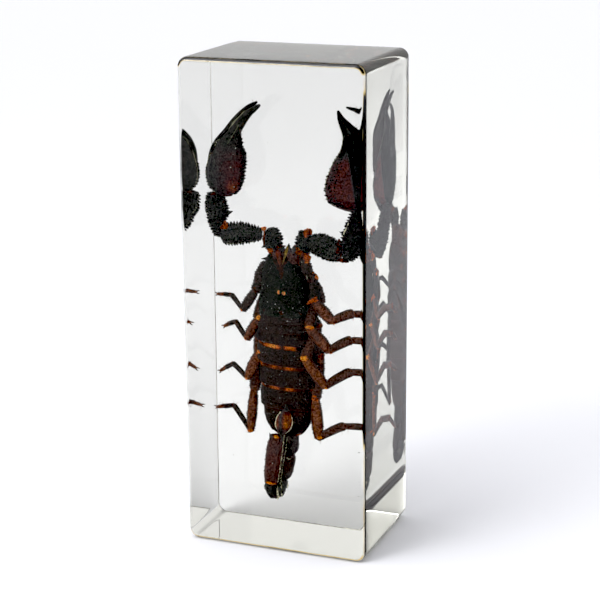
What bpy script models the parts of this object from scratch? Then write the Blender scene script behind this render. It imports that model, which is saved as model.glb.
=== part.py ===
"""A dried scorpion cast in a clear resin block that stands on its small end.

The block's base is centred on the origin, +Z is up, and the scorpion's back faces -Y with its head up.
The scorpion grew as one piece, so it is one solid. The resin was poured in two layers round it, and
the block parts on the plane between the pours, so that each layer is closed and keeps part of the pocket.
Lengths in the tables are in millimetres, and MM turns them into metres.
"""

import math

import bmesh
import bpy
from mathutils import Vector

MM = 0.001

# The block.
BLOCK_WIDTH = 44.0
BLOCK_DEPTH = 30.0
BLOCK_HEIGHT = 113.4
CORNER_RADIUS = 2.4  # the four edges that run front to back
EDGE_RADIUS = 1.1  # all the other edges
CORNER_STEPS = 4
EDGE_STEPS = 2
POUR_PLANE_Y = 4.6  # where the second pour meets the first
POUR_GAP = 0.3

# How finely a piece is made: the sides of its sections, and the outline of a limb segment as shares
# of its length with the share of its half width there.
FINE = {
    "room": 0.0,
    "trunk_sides": 16,
    "claw_sides": 12,
    "tail_sides": 8,
    "arm_sides": 8,
    "leg_sides": 6,
    "spine_sides": 4,
    "barrel": ((0.0, 0.68), (0.5, 1.0), (1.0, 0.7)),
    "plain": ((0.0, 0.85), (1.0, 0.8)),
    "foot": ((0.0, 0.9), (1.0, 0.35)),
}
# The pocket is a plainer form of the scorpion with this much room all round.
POCKET = {
    "room": 0.45,
    "trunk_sides": 10,
    "claw_sides": 7,
    "tail_sides": 6,
    "arm_sides": 6,
    "leg_sides": 4,
    "spine_sides": 3,
    "barrel": ((0.0, 0.9), (1.0, 0.9)),
    "plain": ((0.0, 0.9), (1.0, 0.9)),
    "foot": ((0.0, 0.85), (1.0, 0.6)),
}

BACK_OF_ANIMAL = Vector((0.0, -1.0, 0.0))

# Carapace and abdomen from head to tail: height z, middle x, half width, rise of the back in front
# of the side margin, and drop of the belly behind it.
MARGIN_Y = 4.8
TRUNK = (
    (68.2, -2.0, 2.6, 1.6, 1.3),
    (67.0, -2.0, 3.9, 2.4, 1.8),
    (63.6, -1.7, 5.2, 3.1, 2.2),
    (58.6, -1.6, 5.8, 3.6, 2.5),
    (54.0, -1.8, 6.1, 3.4, 2.5),
    (52.4, -1.8, 5.9, 3.1, 2.4),
    (52.0, -1.8, 6.1, 3.4, 2.5),
    (49.8, -1.8, 6.3, 3.6, 2.6),
    (49.4, -1.8, 6.4, 3.3, 2.6),
    (46.4, -1.6, 6.8, 3.7, 2.7),
    (45.9, -1.5, 7.0, 3.3, 2.6),
    (41.6, -0.8, 7.3, 3.8, 2.7),
    (41.0, -0.7, 7.3, 3.4, 2.6),
    (36.4, -0.5, 7.3, 3.8, 2.6),
    (35.8, -0.5, 7.1, 3.4, 2.5),
    (31.4, -0.6, 6.7, 3.5, 2.3),
    (30.6, -0.8, 6.4, 3.1, 2.2),
    (27.4, -1.1, 5.2, 2.6, 2.0),
    (24.9, -1.1, 3.3, 1.9, 1.7),
)

# Legs: the coxa's root under the body, the hip, then the far ends of femur, patella, tibia, shank and foot.
LEG_SEGMENTS = (
    ("coxa", 1.1, "plain"),
    ("femur", 1.2, "barrel"),
    ("patella", 1.25, "barrel"),
    ("tibia", 0.85, "barrel"),
    ("shank", 0.75, "plain"),
    ("foot", 0.6, "foot"),
)
LEGS = {
    "left_1": (
        (-1.6, 6.4, 61.0),
        (-6.3, 5.8, 62.6),
        (-8.8, 4.4, 58.5),
        (-11.75, 3.2, 53.8),
        (-15.2, 5.9, 56.7),
        (-17.4, 7.0, 56.5),
        (-19.2, 7.6, 56.3),
    ),
    "left_2": (
        (-1.6, 6.6, 58.4),
        (-7.2, 6.3, 57.0),
        (-8.2, 4.4, 51.8),
        (-10.95, 3.3, 46.9),
        (-14.3, 5.9, 50.4),
        (-16.2, 6.9, 49.5),
        (-17.6, 7.5, 48.7),
    ),
    "left_3": (
        (-1.6, 6.7, 56.2),
        (-7.8, 6.3, 51.8),
        (-8.2, 4.6, 43.6),
        (-10.9, 3.3, 37.3),
        (-15.1, 5.9, 40.0),
        (-17.2, 6.9, 38.7),
        (-18.8, 7.4, 37.6),
    ),
    "left_4": (
        (-1.6, 6.7, 54.0),
        (-7.6, 6.4, 45.6),
        (-9.75, 5.4, 34.2),
        (-10.45, 4.0, 24.2),
        (-15.2, 6.3, 29.6),
        (-18.0, 7.1, 28.9),
        (-19.9, 7.6, 28.4),
    ),
    "right_1": (
        (-0.6, 6.4, 61.0),
        (5.0, 5.8, 62.6),
        (5.9, 3.4, 57.3),
        (10.5, 2.6, 53.2),
        (15.0, 4.2, 55.25),
        (19.8, 5.2, 55.45),
        (20.3, 8.0, 53.4),
    ),
    "right_2": (
        (-0.6, 6.6, 58.4),
        (5.4, 6.0, 56.6),
        (4.7, 2.6, 51.3),
        (9.7, 2.8, 46.1),
        (14.6, 4.2, 49.0),
        (19.8, 4.9, 49.2),
        (20.3, 8.0, 47.0),
    ),
    "right_3": (
        (-0.6, 6.7, 56.2),
        (6.2, 5.8, 51.2),
        (3.9, 1.6, 44.0),
        (8.6, 3.0, 37.4),
        (14.6, 3.9, 41.5),
        (19.8, 4.2, 41.8),
        (20.3, 8.0, 39.4),
    ),
    "right_4": (
        (-0.6, 6.7, 54.0),
        (6.8, 5.6, 44.2),
        (6.1, 3.2, 34.1),
        (7.0, 2.6, 24.7),
        (13.2, 3.4, 28.4),
        (19.8, 3.8, 28.85),
        (20.3, 7.8, 25.4),
    ),
}
SEGMENT_OVERLAP = 0.35  # how far each segment runs past its joint, into the next one

# Arms: joints from the coxa to the wrist, and each segment's half width and half depth.
ARM_SEGMENTS = (("coxa", 1.8, 1.7), ("trochanter", 1.95, 1.8), ("femur", 2.15, 2.0), ("patella", 2.2, 2.4))
ARMS = {
    "left": ((-2.4, 5.6, 64.6), (-4.6, 4.9, 69.4), (-4.9, 4.7, 72.2), (-16.6, 2.2, 71.2), (-19.0, 6.5, 80.4)),
    "right": ((0.4, 5.6, 64.6), (3.2, 4.8, 69.4), (3.8, 4.3, 71.6), (13.4, 2.0, 69.2), (16.4, 3.6, 81.4)),
}
CHELICERAE = (((-2.9, 4.4, 65.2), (-2.7, 3.3, 69.3)), ((0.4, 4.4, 65.2), (0.6, 3.3, 69.6)))
CHELICERA_HALF_WIDTH = 1.3
CHELICERA_HALF_DEPTH = 1.3

# Claws: centre, half width and half thickness of each section, along the hand to the tip of its fixed
# finger, then along the movable finger. The twist turns a claw's thin side about +Z, in degrees.
CLAWS = {
    "left": {
        "twist": -12.0,
        "hand": (
            (-15.8, 5.6, 80.1, 1.8, 1.0),
            (-15.9, 5.8, 81.9, 4.1, 2.3),
            (-16.2, 5.7, 85.0, 4.9, 2.9),
            (-15.6, 6.2, 88.4, 4.5, 2.8),
            (-15.1, 6.5, 90.8, 3.9, 2.5),
            (-14.3, 6.5, 93.6, 2.2, 1.9),
            (-13.4, 6.0, 95.4, 1.35, 1.5),
            (-10.1, 5.0, 99.5, 0.85, 0.9),
            (-7.2, 4.2, 101.5, 0.4, 0.4),
        ),
        "finger": (
            (-19.7, 6.8, 87.4, 0.9, 1.1),
            (-19.1, 7.3, 90.4, 1.1, 1.3),
            (-15.6, 7.0, 95.0, 1.1, 1.2),
            (-11.2, 6.3, 99.8, 0.85, 0.9),
            (-8.3, 5.8, 102.0, 0.4, 0.4),
        ),
    },
    "right": {
        "twist": 60.0,
        "hand": (
            (13.8, 3.9, 79.2, 1.8, 1.0),
            (13.5, 4.5, 80.9, 5.0, 2.7),
            (13.2, 4.7, 84.0, 6.0, 3.1),
            (14.1, 4.8, 87.2, 5.6, 3.1),
            (14.9, 5.2, 90.4, 4.8, 2.7),
            (15.0, 5.5, 93.3, 3.4, 2.2),
            (14.4, 6.1, 95.4, 2.6, 1.7),
            (12.3, 6.8, 98.2, 1.2, 0.9),
            (10.9, 7.2, 100.8, 0.4, 0.4),
        ),
        "finger": (
            (16.0, 6.2, 88.5, 1.2, 1.2),
            (17.0, 6.5, 93.6, 1.9, 1.7),
            (17.5, 6.6, 98.0, 1.3, 1.2),
            (16.8, 6.9, 100.4, 0.75, 0.75),
            (12.9, 7.8, 101.6, 0.35, 0.35),
        ),
    },
}

# Tail: the joints of its five segments and the end of the vesicle, then each one's half width and depth.
TAIL_JOINTS = (
    (-0.6, 5.0, 26.2),
    (-1.0, 5.2, 19.6),
    (-2.9, 5.2, 13.2),
    (-4.0, 2.5, 9.6),
    (-4.25, -0.5, 12.9),
    (-2.65, -0.2, 24.9),
    (-0.4, -0.5, 30.4),
)
TAIL_HALF_SIZES = ((2.0, 1.8), (1.85, 1.75), (1.8, 1.7), (1.8, 1.75), (1.85, 1.65), (2.0, 1.75))
STING = ((-0.5, -0.5, 29.8, 0.9, 0.9), (-0.4, -0.2, 31.4, 0.5, 0.5), (-0.7, 0.5, 32.3, 0.2, 0.2))

# The combs under the body, and the larger spines: root, tip and half width at the root.
COMBS = (((-1.9, 7.3, 54.2), (-6.2, 7.4, 50.6)), ((-0.9, 7.3, 54.2), (3.4, 7.4, 50.6)))
COMB_HALF_WIDTH = 0.95
COMB_HALF_DEPTH = 0.4
SPINES = (
    ((-4.6, 4.6, 72.0), (-4.7, 4.0, 74.0), 1.0),
    ((-6.4, 4.4, 72.4), (-6.6, 3.9, 74.0), 0.7),
    ((3.6, 4.2, 71.8), (3.7, 3.6, 74.0), 1.0),
    ((-16.4, 4.6, 75.8), (-14.0, 3.3, 76.9), 0.8),
    ((15.0, 2.8, 73.4), (12.6, 2.3, 74.2), 0.7),
)


def clear_scene():
    for obj in list(bpy.data.objects):
        bpy.data.objects.remove(obj)


def collection(name):
    made = bpy.data.collections.new(name)
    bpy.context.scene.collection.children.link(made)
    return made


def material(name, colour, roughness, alpha=1.0):
    made = bpy.data.materials.new(name)
    made.use_nodes = True
    surface = made.node_tree.nodes["Principled BSDF"]
    surface.inputs["Base Color"].default_value = (*colour, 1.0)
    surface.inputs["Roughness"].default_value = roughness
    surface.inputs["Metallic"].default_value = 0.0
    surface.inputs["Alpha"].default_value = alpha
    return made


def add_object(name, mesh, target):
    obj = bpy.data.objects.new(name, mesh)
    target.objects.link(obj)
    return obj


def loft(name, sections, thin_axis, sides, room, target):
    """A closed tube through elliptical sections, each a centre, a half width, and half depths towards
    and away from thin_axis. It grows outwards by room all round."""
    centres = [Vector(section[0]) for section in sections]
    last = len(centres) - 1
    spread = 1.0 / math.cos(math.pi / sides) if room else 1.0
    mesh_maker = bmesh.new()
    rings = []
    for i, (_, half_width, rise, drop) in enumerate(sections):
        along = (centres[min(i + 1, last)] - centres[max(i - 1, 0)]).normalized()
        thin = (thin_axis - along * thin_axis.dot(along)).normalized()
        wide = along.cross(thin)
        centre = centres[i] + along * room * ((i == last) - (i == 0))
        ring = []
        for step in range(sides):
            angle = 2 * math.pi * (step + 0.5) / sides
            half_depth = rise if math.sin(angle) > 0 else drop
            across = wide * (half_width + room) * math.cos(angle)
            through = thin * (half_depth + room) * math.sin(angle)
            ring.append(mesh_maker.verts.new((centre + (across + through) * spread) * MM))
        rings.append(ring)
    for lower, upper in zip(rings, rings[1:]):
        for step in range(sides):
            after = (step + 1) % sides
            mesh_maker.faces.new((lower[step], lower[after], upper[after], upper[step]))
    mesh_maker.faces.new(rings[0])
    mesh_maker.faces.new(rings[-1])
    bmesh.ops.recalc_face_normals(mesh_maker, faces=mesh_maker.faces)
    mesh = bpy.data.meshes.new(name)
    mesh_maker.to_mesh(mesh)
    mesh_maker.free()
    mesh.shade_smooth()
    return add_object(name, mesh, target)


def segment(name, start, end, half_width, half_depth, outline, sides, room, target):
    """One limb segment between two joints, running a little past both."""
    start, end = Vector(start), Vector(end)
    past = (end - start).normalized() * SEGMENT_OVERLAP
    sections = [
        ((start - past).lerp(end + past, share), half_width * size, half_depth * size, half_depth * size)
        for share, size in outline
    ]
    loft(name, sections, BACK_OF_ANIMAL, sides, room, target)


def trunk(form, target):
    sections = [((x, MARGIN_Y, z), width, rise, drop) for z, x, width, rise, drop in TRUNK]
    if form["room"]:
        sections = [*sections[:4], *sections[5::2], sections[-1]]  # the carapace, and each plate's wide end
    loft("trunk", sections, BACK_OF_ANIMAL, form["trunk_sides"], form["room"], target)


def mouthparts_and_combs(form, target):
    for i, (root, tip) in enumerate(CHELICERAE):
        size = (CHELICERA_HALF_WIDTH, CHELICERA_HALF_DEPTH)
        segment(f"chelicera_{i}", root, tip, *size, form["barrel"], form["leg_sides"], form["room"], target)
    for i, (root, tip) in enumerate(COMBS):
        size = (COMB_HALF_WIDTH, COMB_HALF_DEPTH)
        segment(f"comb_{i}", root, tip, *size, form["barrel"], form["leg_sides"], form["room"], target)


def legs(form, target):
    for side, joints in LEGS.items():
        for (part, half, outline), start, end in zip(LEG_SEGMENTS, joints, joints[1:]):
            name = f"{side}_{part}"
            segment(name, start, end, half, half, form[outline], form["leg_sides"], form["room"], target)


def arms(form, target):
    for side, joints in ARMS.items():
        for (part, half_width, half_depth), start, end in zip(ARM_SEGMENTS, joints, joints[1:]):
            size = (half_width, half_depth)
            name = f"{side}_arm_{part}"
            segment(name, start, end, *size, form["barrel"], form["arm_sides"], form["room"], target)


def claws(form, target):
    for side, claw in CLAWS.items():
        twist = math.radians(claw["twist"])
        thin_axis = Vector((math.sin(twist), -math.cos(twist), 0.0))
        for part in ("hand", "finger"):
            sections = [((x, y, z), width, depth, depth) for x, y, z, width, depth in claw[part]]
            loft(f"{side}_{part}", sections, thin_axis, form["claw_sides"], form["room"], target)


def tail(form, target):
    for i, size in enumerate(TAIL_HALF_SIZES):
        start, end = TAIL_JOINTS[i : i + 2]
        name = f"tail_{i + 1}"
        segment(name, start, end, *size, form["barrel"], form["tail_sides"], form["room"], target)
    sections = [((x, y, z), width, depth, depth) for x, y, z, width, depth in STING]
    loft("sting", sections, BACK_OF_ANIMAL, form["leg_sides"], form["room"], target)


def spines(form, target):
    for i, (root, tip, half) in enumerate(SPINES):
        sections = [(root, half, half, half), (tip, 0.12, 0.12, 0.12)]
        loft(f"spine_{i}", sections, BACK_OF_ANIMAL, form["spine_sides"], form["room"], target)


def animal_forms(form, target):
    """Every form of the scorpion, overlapping at the joints."""
    trunk(form, target)
    mouthparts_and_combs(form, target)
    legs(form, target)
    arms(form, target)
    claws(form, target)
    tail(form, target)
    spines(form, target)


def boolean(obj, name, operation, pieces):
    modifier = obj.modifiers.new(name, "BOOLEAN")
    modifier.operation = operation
    modifier.solver = "EXACT"
    modifier.operand_type = "COLLECTION"
    modifier.collection = pieces


def as_helpers(pieces):
    for obj in pieces.objects:
        obj.hide_render = True
        obj.display_type = "WIRE"


def scorpion(target, limbs, look):
    """The whole animal: its forms joined to the trunk in one solid."""
    animal_forms(FINE, limbs)
    body = limbs.objects["trunk"]
    limbs.objects.unlink(body)
    target.objects.link(body)
    body.name = "scorpion"
    body.data.materials.append(look)
    boolean(body, "limbs", "UNION", limbs)
    as_helpers(limbs)


def resin_layer(name, front_y, back_y, target, pocket, look):
    """The part of the rounded block between two depths, with its share of the pocket cut out."""
    block = bmesh.new()
    bmesh.ops.create_cube(block, size=1.0)
    for vert in block.verts:
        vert.co.x *= BLOCK_WIDTH * MM
        vert.co.y = (back_y if vert.co.y > 0 else front_y) * MM
        vert.co.z = (vert.co.z + 0.5) * BLOCK_HEIGHT * MM
    outer_y = max(front_y, back_y, key=abs)
    depth = (back_y - front_y) * MM
    along_y = [edge for edge in block.edges if abs(edge.verts[0].co.y - edge.verts[1].co.y) > depth / 2]
    corner = {"offset": CORNER_RADIUS * MM, "segments": CORNER_STEPS}
    bmesh.ops.bevel(block, geom=along_y, profile=0.5, affect="EDGES", **corner)
    rim = [
        edge
        for edge in block.edges
        if all(abs(vert.co.y - outer_y * MM) < depth / 100 for vert in edge.verts)
    ]
    bmesh.ops.bevel(block, geom=rim, profile=0.5, affect="EDGES", offset=EDGE_RADIUS * MM, segments=EDGE_STEPS)
    bmesh.ops.recalc_face_normals(block, faces=block.faces)
    mesh = bpy.data.meshes.new(name)
    block.to_mesh(mesh)
    block.free()
    mesh.materials.append(look)
    layer = add_object(name, mesh, target)
    boolean(layer, "pocket", "DIFFERENCE", pocket)


def main():
    clear_scene()
    model = collection("scorpion_in_resin_block")
    limbs = collection("scorpion_forms")
    pocket = collection("pocket_cutters")
    resin = material("clear_resin", (0.93, 0.95, 0.95), 0.03, alpha=0.3)
    chitin = material("dried_chitin", (0.045, 0.018, 0.01), 0.35)
    scorpion(model, limbs, chitin)
    animal_forms(POCKET, pocket)
    as_helpers(pocket)
    half_gap = POUR_GAP / 2
    resin_layer("resin_front", -BLOCK_DEPTH / 2, POUR_PLANE_Y - half_gap, model, pocket, resin)
    resin_layer("resin_back", POUR_PLANE_Y + half_gap, BLOCK_DEPTH / 2, model, pocket, resin)


main()
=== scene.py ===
import math

import bmesh
import bpy
import numpy as np
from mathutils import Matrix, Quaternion, Vector


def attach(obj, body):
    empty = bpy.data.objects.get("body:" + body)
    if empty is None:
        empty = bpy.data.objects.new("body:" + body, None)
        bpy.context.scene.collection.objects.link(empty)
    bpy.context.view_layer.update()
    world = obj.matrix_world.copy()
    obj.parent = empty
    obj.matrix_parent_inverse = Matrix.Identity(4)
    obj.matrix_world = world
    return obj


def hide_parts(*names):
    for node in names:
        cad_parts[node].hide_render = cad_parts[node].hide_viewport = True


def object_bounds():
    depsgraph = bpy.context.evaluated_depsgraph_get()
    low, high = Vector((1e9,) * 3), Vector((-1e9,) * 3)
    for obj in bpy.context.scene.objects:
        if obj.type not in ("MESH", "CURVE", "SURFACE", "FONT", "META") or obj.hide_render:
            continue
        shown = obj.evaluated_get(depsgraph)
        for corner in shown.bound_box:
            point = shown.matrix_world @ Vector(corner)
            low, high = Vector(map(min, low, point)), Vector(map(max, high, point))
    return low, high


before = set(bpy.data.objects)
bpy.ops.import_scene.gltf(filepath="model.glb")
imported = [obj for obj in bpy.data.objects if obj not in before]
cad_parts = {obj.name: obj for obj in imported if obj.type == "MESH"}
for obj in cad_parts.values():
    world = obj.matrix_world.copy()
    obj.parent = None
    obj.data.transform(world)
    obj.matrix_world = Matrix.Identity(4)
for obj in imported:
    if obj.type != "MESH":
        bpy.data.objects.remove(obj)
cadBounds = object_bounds()
lowCorner, highCorner = (np.array(corner) for corner in cadBounds)

mm = 0.001  # the tables below are in millimetres
backOfAnimal = np.array([0.0, -1.0, 0.0])
upwards = np.array([0.0, 0.0, 1.0])
rootBody = "root"
wallGap = 0.15 * mm  # no part of the animal comes nearer to the block's faces


def ease(low, high, value):
    share = np.clip((np.asarray(value, float) - low) / (high - low), 0.0, 1.0)
    return share * share * (3.0 - 2.0 * share)


def hump(value, centre, width):
    return np.exp(-(((np.asarray(value, float) - centre) / width) ** 2))


def lens(value, centre, halfWidth):
    # full in the middle, and nothing past the half width
    return np.clip(1 - ((np.asarray(value, float) - centre) / halfWidth) ** 2, 0.0, 1.0) ** 0.6


def unit(vectors):
    vectors = np.asarray(vectors, float)
    return vectors / np.maximum(np.linalg.norm(vectors, axis=-1, keepdims=True), 1e-9)


def rowsThrough(rows, count):
    # a smooth run of count rows that passes through the given rows
    rows = np.array(rows, float)
    padded = np.vstack([2 * rows[0] - rows[1], rows, 2 * rows[-1] - rows[-2]])
    spot = np.linspace(0, len(rows) - 1, count)
    i = np.minimum(spot.astype(int), len(rows) - 2)
    f = (spot - i)[:, None]
    a, b, c, d = padded[i], padded[i + 1], padded[i + 2], padded[i + 3]
    return 0.5 * (2 * b + (c - a) * f + (2 * a - 5 * b + 4 * c - d) * f**2 + (3 * b - a - 3 * c + d) * f**3)


hashing = {"axes": (374761393, 668265263, 1440662683), "seed": 97531, "mix": 1274126177,
           "word": 0xFFFFFFFF, "fraction": 0xFFFFFF}


def cellNumber(cells, seed):
    # a steady random number from 0 to 1 for each whole-number cell
    word, fraction = hashing["word"], hashing["fraction"]
    key = sum(cells[..., k] * factor for k, factor in enumerate(hashing["axes"])) + seed * hashing["seed"]
    key = ((key & word) ^ ((key & word) >> 13)) * hashing["mix"] & word
    return ((key ^ (key >> 16)) & fraction) / fraction


def lumps(points, size, seed=0):
    # smooth noise from 0 to 1 with lumps of about this size
    spots = np.asarray(points, float) / size
    cells = np.floor(spots).astype(np.int64)
    f = spots - cells
    f = f * f * (3 - 2 * f)
    total = np.zeros(spots.shape[:-1])
    for corner in np.ndindex(2, 2, 2):
        share = np.prod([f[..., k] if corner[k] else 1 - f[..., k] for k in range(3)], axis=0)
        total += share * cellNumber(cells + np.array(corner), seed)
    return total


def granules(points, size, seed=0):
    # rounded grains from 0 to 1, one in each cell of about this size
    spots = np.asarray(points, float) / size
    cells = np.floor(spots).astype(np.int64)
    best = np.zeros(spots.shape[:-1])
    for step in np.ndindex(3, 3, 3):
        near = cells + np.array(step) - 1
        centre = near + np.stack([0.2 + 0.6 * cellNumber(near, seed + k) for k in (1, 2, 3)], axis=-1)
        reach = 0.35 + 0.35 * cellNumber(near, seed + 4)
        gap = np.linalg.norm(spots - centre, axis=-1) / reach
        best = np.maximum(best, np.clip(1 - gap * gap, 0, 1) * reach / 0.7)
    return best


def addObject(name, data):
    made = bpy.data.objects.new(name, data)
    bpy.context.scene.collection.objects.link(made)
    return made


class Form:
    # gathers points, faces and each point's warmth for one piece
    def __init__(self):
        self.points, self.warm, self.quads, self.tris, self.count = [], [], [], [], 0

    def take(self, points, warm, quads, tris):
        points = np.asarray(points, float)
        quads = np.asarray(quads, int).reshape(-1, 4)
        tris = np.asarray(tris, int).reshape(-1, 3)
        corners = np.vstack([quads[:, [0, 1, 2]], quads[:, [0, 2, 3]], tris])
        a, b, c = (points[corners[:, k]] - points.mean(axis=0) for k in range(3))
        if np.einsum("ij,ij->i", a, np.cross(b, c)).sum() < 0:
            quads, tris = quads[:, ::-1], tris[:, ::-1]
        self.points.append(points)
        self.warm.append(np.broadcast_to(np.asarray(warm, float), (len(points),)))
        self.quads.append(quads + self.count)
        self.tris.append(tris + self.count)
        self.count += len(points)

    def rings(self, points, warm=0.0):
        # a closed skin over rings of points, with a rounded-off cap on both ends
        rows, sides = points.shape[:2]
        index = np.arange(rows * sides).reshape(rows, sides)
        after = np.roll(index, -1, axis=1)
        quads = np.stack([index[:-1], after[:-1], after[1:], index[1:]], axis=-1).reshape(-1, 4)
        poles = rows * sides + np.arange(2)
        tris = np.vstack([
            np.stack([after[0], index[0], np.full(sides, poles[0])], axis=-1),
            np.stack([index[-1], after[-1], np.full(sides, poles[1])], axis=-1),
        ])
        everything = np.vstack([points.reshape(-1, 3), points[0].mean(axis=0), points[-1].mean(axis=0)])
        warm = np.broadcast_to(np.asarray(warm, float), (rows, sides))
        warmth = np.concatenate([warm.ravel(), [warm[0].mean(), warm[-1].mean()]])
        self.take(everything, warmth, quads, tris)

    def studs(self, centres, outwards, widths, heights, warm=0.0, lean=None, sides=5):
        # small rounded points that stand on a surface
        centres, outwards = np.asarray(centres, float), unit(outwards)
        widths = np.broadcast_to(widths, len(centres))[:, None, None]
        heights = np.broadcast_to(heights, len(centres))[:, None, None]
        helper = np.where(np.abs(outwards[:, 2:3]) > 0.9, [[1.0, 0, 0]], [[0, 0, 1.0]])
        first = unit(np.cross(outwards, helper))
        second = np.cross(outwards, first)
        turn = 2 * math.pi * np.arange(sides) / sides
        circle = first[:, None] * np.cos(turn)[:, None] + second[:, None] * np.sin(turn)[:, None]
        rise = outwards[:, None] * heights
        if lean is not None:
            rise = rise + np.asarray(lean, float).reshape(-1, 1, 3) * heights
        foot = centres[:, None] + circle * widths - outwards[:, None] * heights * 0.4
        waist = centres[:, None] + circle * widths * 0.66 + rise * 0.5
        top = centres[:, None] + rise
        points = np.concatenate([foot, waist, top], axis=1)
        j = np.arange(sides)
        k = (j + 1) % sides
        quads = np.stack([j, k, k + sides, j + sides], axis=-1)
        tip = np.stack([j + sides, k + sides, np.full(sides, 2 * sides)], axis=-1)
        base = np.stack([np.zeros(sides - 2, int), j[2:], j[1:-1]], axis=-1)
        tris = np.vstack([tip, base])
        step = (np.arange(len(centres)) * (2 * sides + 1))[:, None, None]
        warmth = np.repeat(np.broadcast_to(warm, len(centres)), 2 * sides + 1)
        self.take(points.reshape(-1, 3), warmth, quads[None] + step, tris[None] + step)

    def mesh(self, name, clear=wallGap):
        points = np.clip(np.vstack(self.points) * mm, lowCorner + clear, highCorner - clear)
        quads, tris = np.vstack(self.quads), np.vstack(self.tris)
        made = bpy.data.meshes.new(name)
        made.vertices.add(len(points))
        made.vertices.foreach_set("co", points.ravel())
        made.loops.add(quads.size + tris.size)
        made.loops.foreach_set("vertex_index", np.concatenate([quads.ravel(), tris.ravel()]))
        made.polygons.add(len(quads) + len(tris))
        starts = np.concatenate([np.arange(len(quads)) * 4, quads.size + np.arange(len(tris)) * 3])
        made.polygons.foreach_set("loop_start", starts)
        made.update(calc_edges=True)
        made.attributes.new("warm", "FLOAT", "POINT").data.foreach_set("value", np.concatenate(self.warm))
        made.shade_smooth()
        return made

    def piece(self, name, look, slotName="dried_chitin", node="scorpion"):
        made = addObject(name, self.mesh(name))
        made.data.materials.append(look)
        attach(made, rootBody)
        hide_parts(node)


def directions(path, thinAxis):
    # the along, wide and thin directions at each point of a path
    along = unit(np.gradient(path, axis=0))
    thinAxis = np.broadcast_to(np.asarray(thinAxis, float), path.shape)
    thin = unit(thinAxis - along * np.einsum("ij,ij->i", along, thinAxis)[:, None])
    return along, np.cross(along, thin), thin


def tube(form, rows, thinAxis, sides=24, rings=40, square=2.0, keels=(), grain=0.0, cell=0.45, seed=0,
         grainHighlight=0.0):
    # rows hold x, y, z, half width, half depth and warmth; keels an angle in degrees, a height and a spread
    run = rowsThrough(rows, rings)
    run[:, 3:5] = np.maximum(run[:, 3:5], 0.02)
    path, half, depth, warm = run[:, :3], run[:, 3:4], run[:, 4:5], run[:, 5:6]
    _, wide, thin = directions(path, thinAxis)
    turn = 2 * math.pi * np.arange(sides) / sides
    c, s = np.cos(turn), np.sin(turn)
    reach = (np.abs(c) ** square + np.abs(s) ** square) ** (-1 / square)
    for angle, height, spread in keels:
        away = (np.degrees(turn) - angle + 180) % 360 - 180
        reach = reach + height * hump(away, 0, spread)
    across = wide[:, None] * (half * reach * c)[..., None]
    through = thin[:, None] * (depth * reach * s)[..., None]
    points = path[:, None] + across + through
    out = unit(wide[:, None] * (c / half)[..., None] + thin[:, None] * (s / depth)[..., None])
    warm = warm + 0 * c
    if grain:
        bumps = granules(points, cell, seed)
        points = points + out * (grain * bumps)[..., None]
        # painted highlight: the tops of the grains are made lighter
        warm = warm + grainHighlight * bumps ** 2
    form.rings(points, warm)
    return points, out


def paintLast(form, warm):
    # gives the newest rings of a form their warmth point by point
    flat = np.asarray(warm, float)
    form.warm[-1] = np.concatenate([flat.ravel(), [flat[0].mean(), flat[-1].mean()]])


def lengthsAlong(line):
    return np.concatenate([[0], np.cumsum(np.linalg.norm(np.diff(line, axis=0), axis=1))])


def alongLine(spots, length, values):
    return np.stack([np.interp(spots, length, values[:, k]) for k in range(3)], axis=-1)


def columnAt(skin, angle):
    # the points along one side of a tube, and which way they face
    column = int(round(angle / 360 * skin[0].shape[1])) % skin[0].shape[1]
    return skin[0][:, column], skin[1][:, column]


def crest(form, skin, angle, gap, width, height, warm=0.0, span=(0.08, 0.95), seed=0):
    # a row of uneven teeth along one side of a tube
    line, out = columnAt(skin, angle)
    length = lengthsAlong(line)
    dice = np.random.default_rng(seed)
    spots = np.arange(span[0] * length[-1], span[1] * length[-1], gap)
    spots = spots + dice.uniform(-0.25, 0.25, len(spots)) * gap
    size = dice.uniform(0.6, 1.25, len(spots))
    form.studs(alongLine(spots, length, line), alongLine(spots, length, out), width * size, height * size,
               warm)


def crests(form, skin, angles, gap, width, height, warm=0.0, seed=0, **more):
    # the same row of teeth along several lines
    for angle in angles:
        crest(form, skin, angle, gap, width, height, warm, seed=seed + angle, **more)


def scatter(form, skin, count, width, height, warm=0.0, seed=0, rowSpan=(0.05, 0.95), columnSpan=(0.0, 1.0)):
    # grains strewn over a tube or a plate
    points, out = skin
    rows, sides = points.shape[:2]
    dice = np.random.default_rng(seed)
    i = (dice.uniform(*rowSpan, count) * (rows - 1)).astype(int)
    j = (dice.uniform(*columnSpan, count) * sides).astype(int) % sides
    size = dice.uniform(0.5, 1.3, count)
    form.studs(points[i, j], out[i, j], width * size, height * size, warm)


def strew(form, skin, kinds, length=1, seedShift=0):
    # several kinds of grain: how many (or how many a millimetre), width and height, warmth, seed, and the
    # rows and columns between which they lie
    for count, size, warm, seed, rowSpan, columnSpan in kinds:
        scatter(form, skin, int(length * count), *size, warm, seed + seedShift, rowSpan, columnSpan)


def hairs(form, skin, dice, rows, count, lengths, seed=0, width=0.035, warm=0.6, rise=(1.0, 0.0)):
    # fine bristles at random places between two rows, each a slim cone that leans a little its own way;
    # rise holds how much they follow the skin and how much they point upwards
    points, out = skin
    i, j = dice.integers(*rows, count), dice.integers(0, points.shape[1], count)
    ways = out[i, j] * rise[0] + upwards * rise[1]
    lengths = dice.uniform(*lengths, count)
    lean = np.random.default_rng(seed).normal(0, 0.25, (count, 3))
    form.studs(points[i, j], ways, width, lengths, warm, lean, sides=3)


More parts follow.
